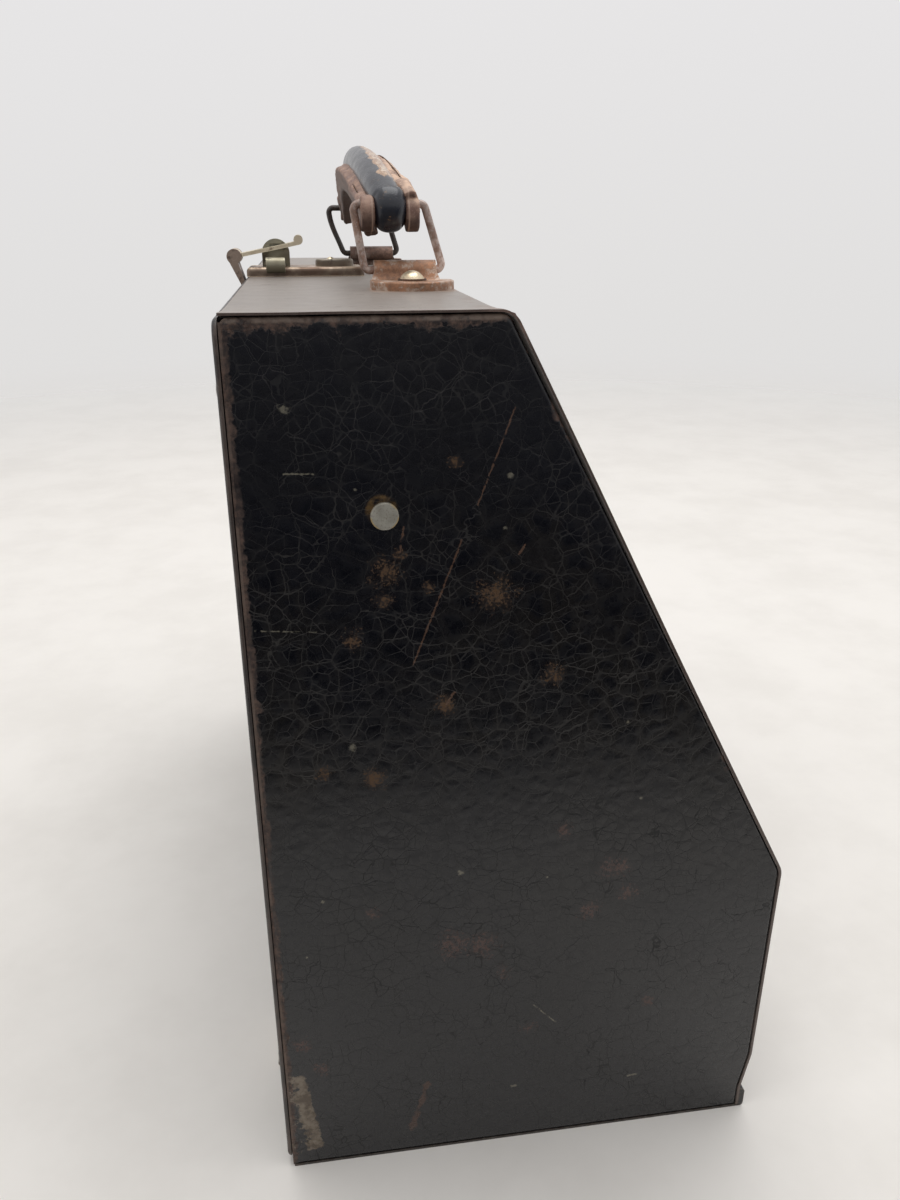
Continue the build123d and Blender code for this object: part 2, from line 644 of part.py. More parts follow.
def saddle_rivet_place():
    """Rivet of the saddle, in x and y."""
    return STAPLE_X, LOCK_NEAR_Y + SADDLE_TONGUE / 2


def staple_tenon():
    """Foot of the staple, through the lock plate and flush inside the top sheet."""
    x = (STAPLE_X - TENON / 2, STAPLE_X + TENON / 2)
    y = (LOCK_Y - TENON_THICK / 2, LOCK_Y + TENON_THICK / 2)
    return block(x, y, (INSIDE_TOP, LOCK_TOP))


def lock_plate():
    """Raised stamping that the lock's pieces stand on."""
    x = (LOCK_START, LOCK_START + LOCK_LENGTH)
    y = (LOCK_NEAR_Y, LOCK_NEAR_Y + LOCK_DEPTH)
    plate = block(x, y, (HEIGHT, LOCK_TOP))
    plate = fillet(plate.edges().filter_by(Axis.Z), 2.2)
    plate = fillet(plate.faces().sort_by(Axis.Z)[-1].edges(), LOCK_ROUND)
    wall = LOCK_SHEET
    plate -= block((x[0] + wall, x[1] - wall), (y[0] + wall, y[1] - wall), (HEIGHT, LOCK_TOP - wall))
    for place in ((BOSS_RIVET_X, LOCK_Y), saddle_rivet_place()):
        plate -= rod_z(SMALL_RIVET_R, 0, 2 * FAR, *place)
    return plate - staple_tenon()


def lock_backing():
    """Plate inside the top sheet, under the lock."""
    y = (LOCK_NEAR_Y + 1, LOCK_NEAR_Y + LOCK_DEPTH - 1)
    x = (STAPLE_X + TENON / 2 + 2, LOCK_START + LOCK_LENGTH - 2)
    plate = block(x, y, (INSIDE_TOP - BACKING, INSIDE_TOP))
    plate = fillet(plate.edges().filter_by(Axis.Z), 3)
    return plate - rod_z(SMALL_RIVET_R, 0, 2 * FAR, BOSS_RIVET_X, LOCK_Y)


def lock_staple():
    """Arched staple that stands up between the tines of the hasp."""
    crown = HEIGHT + STAPLE_TOP - STAPLE_R
    sides = (STAPLE_X - STAPLE_R, STAPLE_X + STAPLE_R)
    shape = Pos(STAPLE_X, crown) * Circle(STAPLE_R) + rect(sides, (LOCK_TOP, crown))
    shape &= rect(sides, (LOCK_TOP, 2 * FAR))
    low, high = (LOCK_Y - STAPLE_THICK / 2, LOCK_Y + STAPLE_THICK / 2)
    staple = along_y(shape, low, high)
    slit = Pos(STAPLE_X, crown + STAPLE_SLIT_UP) * SlotOverall(STAPLE_SLIT_LONG, STAPLE_SLIT)
    staple -= along_y(slit, low - 1, low + STAPLE_SLIT_DEEP)
    staple -= along_y(slit, high - STAPLE_SLIT_DEEP, high + 1)
    return staple + staple_tenon()


def lock_saddle():
    """Strip on the lock plate whose near end is curled over the plate's edge."""
    x = (STAPLE_X - SADDLE_WIDTH / 2, STAPLE_X + SADDLE_WIDTH / 2)
    y = LOCK_NEAR_Y - SADDLE_R - 0.1
    z = LOCK_TOP + LOCK_SHEET - 0.2
    curl = rod_x(SADDLE_R, *x, y, z)
    curl -= rod_x(SADDLE_R - LOCK_SHEET, *x, y, z)
    reach = (y + SADDLE_R - LOCK_SHEET, LOCK_NEAR_Y + SADDLE_TONGUE)
    tongue = block(x, reach, (LOCK_TOP, LOCK_TOP + LOCK_SHEET))
    return curl + tongue - rod_z(SMALL_RIVET_R, 0, 2 * FAR, *saddle_rivet_place())


def lock_boss():
    """Oval boss beside the staple."""
    oval = Pos(BOSS_X, LOCK_Y, LOCK_TOP) * extrude(SlotOverall(BOSS_LENGTH, BOSS_DEPTH), amount=BOSS_RISE)
    oval = fillet(oval.faces().sort_by(Axis.Z)[-1].edges(), 0.9)
    return oval - rod_z(SMALL_RIVET_R, 0, 2 * FAR, BOSS_RIVET_X, LOCK_Y)


def lock_rivets():
    """Rivet of the boss, clinched under the backing plate, and that of the saddle, inside the lock plate."""
    places = [(BOSS_RIVET_X, LOCK_Y), saddle_rivet_place()]
    lows = [INSIDE_TOP - BACKING, LOCK_TOP - LOCK_SHEET]
    tops = [LOCK_TOP + BOSS_RISE, LOCK_TOP + LOCK_SHEET]
    heads = [BOSS_RIVET_R, SMALL_HEAD_R]
    rivets = []
    for (x, y), low, top, head in zip(places, lows, tops, heads):
        rivet = rod_z(SMALL_RIVET_R, low, top, x, y) + dome_z(head, SMALL_HEAD, x, y, top)
        rivets.append(rivet + rod_z(SMALL_HEAD_R, low - SMALL_HEAD, low, x, y))
    return Compound(rivets)


def hasp_frame(shape):
    """Turn a level hasp piece, drawn with its knuckle at the origin, to where it rests."""
    return Pos(HASP_AXIS_X, LOCK_Y, HASP_AXIS_Z) * Rot(0, -HASP_RAISED, 0) * shape


def hasp_strap():
    """Forked strap whose tines pass the staple, curled up at their free ends."""
    half = HASP_SHEET / 2
    side = (-HASP_WIDTH / 2, HASP_WIDTH / 2)
    middle = (-HASP_EYE / 2, HASP_EYE / 2)
    start = HASP_R + KNUCKLE_GAP
    strap = block((start, HASP_REACH), side, (-half, half))
    strap += block((0, start), middle, (-half, half))
    strap += rod_y(HASP_R, *middle, 0, 0)
    strap += rod_y(HASP_CURL_R, *side, HASP_REACH, HASP_CURL_R - half)
    strap -= block((SLOT_START, FAR), (-SLOT_WIDTH / 2, SLOT_WIDTH / 2), (-FAR, FAR))
    return hasp_frame(strap - rod_y(HASP_PIN_R + RUNNING, *middle, 0, 0))


def hasp_leaf():
    """Leaf riveted to the base plate, bent outwards to the two outer knuckles."""
    x, z = HASP_AXIS_X, HASP_AXIS_Z
    top = HEIGHT - LEAF_BEND
    out = HASP_SHEET
    left = x - HASP_R
    points = [(0, HEIGHT - LEAF_FOOT), (0, top), (x + 1.2, z - 1.5), (left + 0.4, z - 1), (-out, top - 0.8),
              (-out, HEIGHT - LEAF_FOOT)]
    side = (LOCK_Y - HASP_WIDTH / 2, LOCK_Y + HASP_WIDTH / 2)
    leaf = along_y(make_face(Polyline(*points, close=True)), *side)
    leaf += rod_y(HASP_R, *side, x, z)
    clear = HASP_EYE / 2 + KNUCKLE_GAP
    gap = rod_y(HASP_R + KNUCKLE_GAP, LOCK_Y - clear, LOCK_Y + clear, x, z)
    leaf -= gap
    leaf -= rod_y(HASP_PIN_R, *side, x, z)
    for y, height in hasp_leaf_places():
        leaf -= rod_x(SMALL_RIVET_R, -FAR, FAR, y, height)
    return leaf


def hasp_pin():
    """Pin through the hasp's knuckles, held by the outer two."""
    return rod_y(HASP_PIN_R, LOCK_Y - HASP_WIDTH / 2, LOCK_Y + HASP_WIDTH / 2, HASP_AXIS_X, HASP_AXIS_Z)


def hasp_rivets():
    """Rivets of the hasp's leaf, heads outside."""
    return Compound([rivet_x(y, z, HASP_SHEET) for y, z in hasp_leaf_places()])


NEAR_AND_FAR = {
    "side_panel": side_panel,
    "side_stud": side_stud,
    "hold_clip": hold_clip,
    "cover_hinge_leaf": cover_leaf,
    "base_hinge_leaf": base_leaf,
    "hinge_pin": hinge_pin,
    "handle_bracket": handle_bracket,
    "bracket_washer": bracket_washer,
    "backing_plate": backing_plate,
    "bail": bail,
}

SINGLE = {
    "cover_wrap": cover_wrap,
    "bottom_plate": bottom_plate,
    "cover_hinge_rivets": cover_leaf_rivets,
    "bracket_rivets": bracket_rivets,
    "lock_plate": lock_plate,
    "lock_backing": lock_backing,
    "lock_staple": lock_staple,
    "lock_saddle": lock_saddle,
    "lock_boss": lock_boss,
    "lock_rivets": lock_rivets,
    "base_tray": base_tray,
    "base_board": base_board,
    "board_screws": board_screws,
    "glides": glides,
    "base_hinge_rivets": base_leaf_rivets,
    "hasp_leaf": hasp_leaf,
    "hasp_pin": hasp_pin,
    "hasp_rivets": hasp_rivets,
    "hasp_strap": hasp_strap,
    "grip_core": grip_core,
    "grip_roll": grip_roll,
    "grip_welt_left": lambda: grip_welt(-1),
    "grip_welt_right": lambda: grip_welt(1),
}


def parts():
    """Every piece of the case, by name, in the frame that it is written in."""
    shapes = {name: make() for name, make in SINGLE.items()}
    for name, make in NEAR_AND_FAR.items():
        near = make()
        shapes[name + "_near"] = near
        shapes[name + "_far"] = far_side(near)
    return {name: Pos(-MIDDLE_X, 0, 0) * shape for name, shape in shapes.items()}


os.makedirs("parts", exist_ok=True)
for name, shape in parts().items():
    export_step(shape, f"parts/{name}.step")
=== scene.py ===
import bpy
import bmesh
from math import atan, cos, pi, radians, sin, tan
from mathutils import Matrix, Vector, noise


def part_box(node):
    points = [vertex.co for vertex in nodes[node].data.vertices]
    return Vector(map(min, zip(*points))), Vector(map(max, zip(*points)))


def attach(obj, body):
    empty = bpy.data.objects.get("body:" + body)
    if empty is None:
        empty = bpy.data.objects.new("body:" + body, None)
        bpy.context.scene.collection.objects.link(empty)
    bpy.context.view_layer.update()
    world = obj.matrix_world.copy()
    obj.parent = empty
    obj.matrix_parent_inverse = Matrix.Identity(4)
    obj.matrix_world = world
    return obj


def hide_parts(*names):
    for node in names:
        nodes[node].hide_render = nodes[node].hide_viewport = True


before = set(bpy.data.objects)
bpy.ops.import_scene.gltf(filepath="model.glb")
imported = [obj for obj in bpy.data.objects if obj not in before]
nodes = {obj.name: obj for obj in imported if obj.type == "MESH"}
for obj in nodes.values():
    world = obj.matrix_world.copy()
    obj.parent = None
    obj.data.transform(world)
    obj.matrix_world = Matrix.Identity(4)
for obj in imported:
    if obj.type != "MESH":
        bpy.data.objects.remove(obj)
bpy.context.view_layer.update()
scene = bpy.context.scene
MM = 0.001

# The case, in millimetres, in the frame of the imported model.
TOP_Z = 300.0
HALF = 181.0
MOUTH_X = -82.35
SLOPE_TOP = (-8.15, 300.0)
SLOPE_OUT = (0.8819, 0, 0.4714)
REAR_X = 91.85
STUD = (-42.85, -181.0, 247.4)
WRAP_SHEET = 0.9

# The studio and the view, in metres and degrees, with the lens in millimetres.
FLOOR_REACH = 2.4
LAMP_AT = (0.1, 0.15, 1.6)
VIEW_FROM = (-0.06136, -0.42585, 0.32302)
VIEW_DOWN = 22.3
VIEW_TURN = -8.5
LENS = 28.05

# The grip's arch, in millimetres.
EYE_Y = 82.0
BAR_Z = 327.0
GRIP_X = -30.8
ARCH_RADIUS = 222.0
ARCH_CENTRE_Z = 120.7
ARCH_HALF = atan(EYE_Y / (BAR_Z - ARCH_CENTRE_Z))
GRIP_TILT = radians(17.0)   # the worn grip leans further than its steel core
CORE_TILT = radians(10.5)
GRIP_SLOPE = atan(1.5 / EYE_Y)
ROLL_HALF = 5.95            # half width of the roll at its crest
ROLL_END_HALF = 5.8         # and over the bars
ROLL_RISE = 7.6
ROLL_END_RISE = 7.5
WELT_OUT = 9.7              # outer face of the leather edges, from the middle
BAR_ROOM = 1.5              # radius left round a bar


class Value:
    """What a node gives. Arithmetic on it makes the math nodes."""

    def __init__(self, web, socket):
        self.web = web
        self.socket = socket

    def __abs__(self):
        return self.web.sum("ABSOLUTE", self)


def operation(how, turned):
    """One of the four operations between a Value and another Value or a number."""
    return lambda a, b: a.web.sum(how, b, a) if turned else a.web.sum(how, a, b)


for how, sign in (("ADD", "add"), ("SUBTRACT", "sub"), ("MULTIPLY", "mul"), ("DIVIDE", "truediv")):
    setattr(Value, f"__{sign}__", operation(how, False))
    setattr(Value, f"__r{sign}__", operation(how, True))


class Web:
    """Builds shader nodes, each value by its name."""

    def __init__(self, tree):
        self.tree = tree

    def out(self, made, key=0):
        return Value(self, made.outputs[key])

    def named(self, made):
        return {s.name: Value(self, s) for s in made.outputs}

    def node(self, kind, settings=None, **inputs):
        made = self.tree.nodes.new("ShaderNode" + kind)
        for name, value in (settings or {}).items():
            setattr(made, name, value)
        return self.fill(made, inputs)

    def fill(self, made, inputs):
        for name, value in inputs.items():
            self.put(made, name, value)
        return made

    def put(self, made, name, value):
        if isinstance(name, str):
            label = name.replace("_", " ")
            socket = next(s for s in made.inputs if s.name == label and s.enabled)
        else:
            socket = made.inputs[name]
        value = getattr(value, "socket", value)
        if isinstance(value, bpy.types.NodeSocket):
            self.tree.links.new(value, socket)
        elif value is not None:
            if socket.type == "RGBA" and len(value) == 3:
                value = (*value, 1)
            socket.default_value = value

    def sum(self, how, a, b=None, clamp=False):
        made = self.node("Math", {"operation": how, "use_clamp": clamp})
        self.put(made, 0, a)
        self.put(made, 1, b)
        return self.out(made)

    def most(self, first, *others):
        """The strongest of several masks at each point."""
        for mask in others:
            first = self.sum("MAXIMUM", first, mask)
        return first

    def vector(self, how, a, b=None, out=0, scale=None):
        made = self.node("VectorMath", {"operation": how})
        self.put(made, 0, a)
        if b is not None:
            self.put(made, 1, b)
        if scale is not None:
            self.put(made, "Scale", scale)
        return self.out(made, out)

    def ramp(self, value, low, high, start=0.0, end=1.0):
        made = self.node("MapRange", {"interpolation_type": "SMOOTHSTEP"}, Value=value)
        for name, number in (("From Min", low), ("From Max", high), ("To Min", start), ("To Max", end)):
            self.put(made, name, number)
        return self.out(made)

    def fade(self, value, low, high):
        return self.ramp(value, low, high, 1.0, 0.0)

    def blend(self, share, a, b):
        made = self.node("Mix", {"data_type": "RGBA"})
        for k, value in ((0, share), (6, a), (7, b)):
            self.put(made, k, value)
        return self.out(made, 2)

    def noise(self, place, scale, detail=3.0, rough=0.5, warp=0.0, colour=False):
        made = self.node("TexNoise", Vector=place, Scale=scale, Detail=detail, Roughness=rough,
                         Distortion=warp)
        return self.out(made, "Color" if colour else "Fac")

    def cells(self, place, scale, feature="DISTANCE_TO_EDGE", random=1.0):
        made = self.node("TexVoronoi", {"feature": feature}, Vector=place, Scale=scale, Randomness=random)
        return self.out(made, "Distance")

    def parts(self, place):
        return [Value(self, s) for s in self.node("SeparateXYZ", Vector=place).outputs]

    def facing(self):
        """Which way the surface looks: x, y and z of its normal."""
        return self.parts(self.node("NewGeometry").outputs["Normal"])

    def bump(self, height, strength, distance, normal=None):
        made = self.node("Bump", Height=height, Strength=strength, Distance=distance)
        if normal is not None:
            self.put(made, "Normal", normal)
        return self.out(made)

    def place(self):
        return self.out(self.node("TexCoord"), "Object")

    def use(self, group, place, **inputs):
        made = self.tree.nodes.new("ShaderNodeGroup")
        made.node_tree = group
        return self.named(self.fill(made, {"Place": place, **inputs}))

    def lay(self, mask, colour):
        """Lays a colour over the ground, as far as the mask says."""
        self.ground = self.blend(mask, self.ground, colour)

    def coat(self, **inputs):
        """Gives the shader its ground and the rest of its surface."""
        self.fill(self.shader, {"Base Color": self.ground, **inputs})

    def close(self, **results):
        """Ends a node group with its named results."""
        self.fill(self.tree.nodes.new("NodeGroupOutput"), results)
        return self.tree


def effect(name, gives, **takes):
    """A shader node group with named inputs and outputs."""
    tree = bpy.data.node_groups.new(name, "ShaderNodeTree")
    for label, value in takes.items():
        kind = "NodeSocketFloat" if isinstance(value, float) else "NodeSocketVector"
        socket = tree.interface.new_socket(label.replace("_", " "), in_out="INPUT", socket_type=kind)
        if value != ():
            socket.default_value = value
    for label in gives:
        tree.interface.new_socket(label, in_out="OUTPUT", socket_type="NodeSocketFloat")
    w = Web(tree)
    return w, w.named(tree.nodes.new("NodeGroupInput"))


def crackle_effect():
    """Crazed enamel: thin broken lines between cells, and how far a point is from them."""
    w, i = effect("crackled enamel", ("Line", "Pool"), Place=(), Cells=90.0, Line_width=0.03, Warp=0.004,
                  Broken=0.5)
    bent = w.vector("SUBTRACT", w.noise(i["Place"], 42.0, 4.0, 0.62, colour=True), (0.5, 0.5, 0.5))
    place = w.vector("ADD", i["Place"], w.vector("SCALE", bent, scale=i["Warp"]))
    edge = w.cells(place, i["Cells"], random=0.86)
    drift = w.noise(i["Place"], 45.0, 3.0)
    width = i["Line width"] * w.ramp(drift, 0.3, 0.7, 0.5, 1.6)
    near = edge / width
    line = w.fade(near, 0.25, 1.0)
    shown = w.ramp(w.noise(i["Place"], 70.0, 4.0, 0.6), i["Broken"] - 0.12, i["Broken"] + 0.1, 0.12, 1.0)
    pool = w.ramp(edge, 0.05, 0.33)
    return w.close(Line=line * shown, Pool=pool)


def edge_effect():
    """Worn corners: where the bevelled normal leaves the flat one, broken up by noise."""
    w, i = effect("worn edges", ("Worn",), Place=(), Reach=0.0006, Grain=600.0, Spread=0.5)
    bevel = w.node("Bevel", {"samples": 4}, Radius=i["Reach"])
    flat = w.node("NewGeometry").outputs["Normal"]
    turn = 1.0 - w.vector("DOT_PRODUCT", bevel.outputs[0], flat, out=1)
    rough = w.noise(i["Place"], i["Grain"], 4.0, 0.65)
    level = turn * 6.0 + (rough - 0.5) * 1.6
    return w.close(Worn=w.ramp(level, i["Spread"] - 0.15, i["Spread"] + 0.25))


def stroke_effect():
    """A straight scratch or streak between two points, broken along its length."""
    w, i = effect("stroke", ("Mask",), Place=(), Start=(), Finish=(), Half_width=0.0005, Broken=0.45,
                  Grain=900.0)
    along = w.vector("SUBTRACT", i["Finish"], i["Start"])
    rise = w.vector("SUBTRACT", i["Place"], i["Start"])
    share = w.sum("DIVIDE", w.vector("DOT_PRODUCT", rise, along, out=1),
                  w.vector("DOT_PRODUCT", along, along, out=1), clamp=True)
    foot = w.vector("SUBTRACT", rise, w.vector("SCALE", along, scale=share))
    away = w.vector("LENGTH", foot, out=1)
    grit = w.noise(i["Place"], i["Grain"], 3.0, 0.6)
    reach = i["Half width"] * w.ramp(grit, 0.3, 0.72, 0.25, 1.7)
    body = w.fade(away / reach, 0.55, 1.15)
    shown = w.ramp(w.noise(i["Place"], i["Grain"] * 0.45, 2.0), i["Broken"] - 0.06, i["Broken"] + 0.06)
    return w.close(Mask=body * shown)


def spot_effect():
    """A round, uneven stain with a soft edge."""
    w, i = effect("stain", ("Mask",), Place=(), Centre=(), Radius=0.004, Grain=700.0, Firm=0.5)
    away = w.vector("DISTANCE", i["Place"], i["Centre"], out=1) / i["Radius"]
    grit = w.noise(i["Place"], i["Grain"], 5.0, 0.68) - 0.5
    wide = w.noise(i["Place"], i["Grain"] * 0.25, 2.0) - 0.5
    level = away + (grit * 2.2 + wide * 1.6)
    return w.close(Mask=w.fade(level, i["Firm"], 1.05))


def fleck_effect():
    """Scattered specks of rust, closer together towards the middle of a spot, over a faint haze."""
    w, i = effect("rust flecks", ("Mask",), Place=(), Centre=(), Radius=0.004, Grain=1100.0)
    away = w.vector("DISTANCE", i["Place"], i["Centre"], out=1) / i["Radius"]
    wide = w.noise(i["Place"], i["Grain"] * 0.22, 3.0) - 0.5
    inside = w.sum("SUBTRACT", 1.0, away + wide * 1.4, clamp=True)
    level = w.noise(i["Place"], i["Grain"], 4.0, 0.7) + inside * 0.22
    speck = w.ramp(level, 0.6, 0.72) * w.ramp(inside, 0.0, 0.2)
    return w.close(Mask=w.most(speck, inside * inside * 0.3))


def rust_effect():
    """Patchy rust at two scales, from none to all by its amount."""
    w, i = effect("rust", ("Patches", "Grit"), Place=(), Amount=0.4, Scale=120.0)
    broad = w.noise(i["Place"], i["Scale"], 4.0, 0.62)
    fine = w.noise(i["Place"], i["Scale"] * 5.5, 4.0, 0.7)
    level = broad * 0.62 + fine * 0.38
    edge = 0.72 - i["Amount"] * 0.5
    patches = w.ramp(level, edge - 0.05, edge + 0.05)
    return w.close(Patches=patches, Grit=fine)


CRACKLE = crackle_effect()
EDGES = edge_effect()
STROKE = stroke_effect()
STAIN = spot_effect()
FLECKS = fleck_effect()
RUST = rust_effect()


def finish_of(name):
    """A new material, the builder of its nodes, and the place of a point on it."""
    made = bpy.data.materials.new(name)
    made.use_nodes = True
    w = Web(made.node_tree)
    w.shader = w.tree.nodes["Principled BSDF"]
    return made, w, w.place()


def dress(made, material):
    """Give a piece its finish, in place of what it has."""
    made.data.materials.clear()
    made.data.materials.append(material)


def placed(label, data):
    """A new object of the scene around its data."""
    made = bpy.data.objects.new(label, data)
    scene.collection.objects.link(made)
    return made


def mm(x, y, z):
    return (x * MM, y * MM, z * MM)


FACE_Y = -HALF
ENAMEL = (0.0034, 0.0037, 0.006)

# Marks on the near side panel: x and z of each, in millimetres.
SCRATCHES = [((-7.2, 275.8), (-17.0, 249.4), 0.42, 0.47), ((-21.4, 239.4), (-35.7, 201.6), 0.5, 0.45),
             ((-37.6, 244.0), (-38.8, 236.8), 0.5, 0.46), ((-3.3, 237.0), (-5.2, 234.1), 0.6, 0.4),
             ((-26.0, 187.6), (-23.5, 191.6), 0.7, 0.42)]
PALE_LINES = [((-69.3, 260.1), (-61.5, 259.8), 0.25, 0.42), ((-80.1, 215.4), (-55.0, 213.2), 0.22, 0.5),
              ((5.3, 64.6), (14.5, 54.2), 0.28, 0.46), ((-1.9, 26.5), (-0.2, 26.3), 0.5, 0.3),
              ((43.0, 24.0), (46.0, 24.3), 0.5, 0.42)]
ORANGE_SPOTS = [((-11.7, 222.2), 5.2), ((-26.3, 187.6), 3.2), ((7.2, 195.1), 3.6), ((-52.9, 210.8), 3.2),
                ((-43.2, 231.0), 4.4), ((-43.9, 222.6), 2.8), ((-23.4, 261.7), 1.9), ((-48.0, 163.3), 3.6),
                ((-63.6, 166.6), 2.6), ((-39.5, 236.0), 2.2), ((-31.0, 226.0), 1.6)]
DARK_SPOTS = [((31.1, 121.0), 4.6), ((-76.0, 58.8), 3.2), ((-70.2, 46.1), 2.4), ((-6.6, 81.4), 3.0),
              ((3.1, 54.1), 3.0), ((-24.0, 95.7), 5.5), ((-13.0, 94.2), 5.0), ((36.0, 110.0), 3.4),
              ((22.0, 104.0), 4.0), ((-50.0, 112.0), 2.4), ((13.0, 138.0), 3.0), ((47.0, 60.0), 2.2)]
PALE_SPECKS = [((-54.3, 175.2), 1.3), ((-21.1, 125.1), 1.2), ((-8.1, 257.5), 0.9), ((-9.2, 242.3), 0.7),
               ((-50.6, 255.0), 0.7), ((31.5, 176.9), 0.7), ((-68.2, 277.0), 1.7), ((-66.0, 119.0), 0.7),
               ((38.0, 148.0), 0.6), ((-72.5, 97.0), 0.5), ((8.0, 120.0), 0.5)]
FLECK_SPREAD = 1.45         # reach of an orange spot's flecks, in its listed sizes
DARK_SPREAD = 1.5           # and of a dark spot's
SCRATCH_WIDTH = 0.62        # share of a scratch's listed width that shows
SCRATCH_MEND = 0.09         # how much less broken it is than listed
TOP_FRINGE = 0.0023         # widths of the rusty border, in metres
SIDE_FRINGE = 0.0019
LEFT_BAND = 0.0017
RESIDUE = [(-84.0, 45.2), (-76.2, 44.2), (-71.2, 8.2), (-84.0, 5.4)]


def panel_point(at):
    return mm(at[0], FACE_Y, at[1])


def along_line(w, place, through, outward):
    """Distance inside a straight border, in metres."""
    offset = w.vector("SUBTRACT", place, mm(through[0], 0, through[1]))
    return w.vector("DOT_PRODUCT", offset, outward, out=1) * -1.0


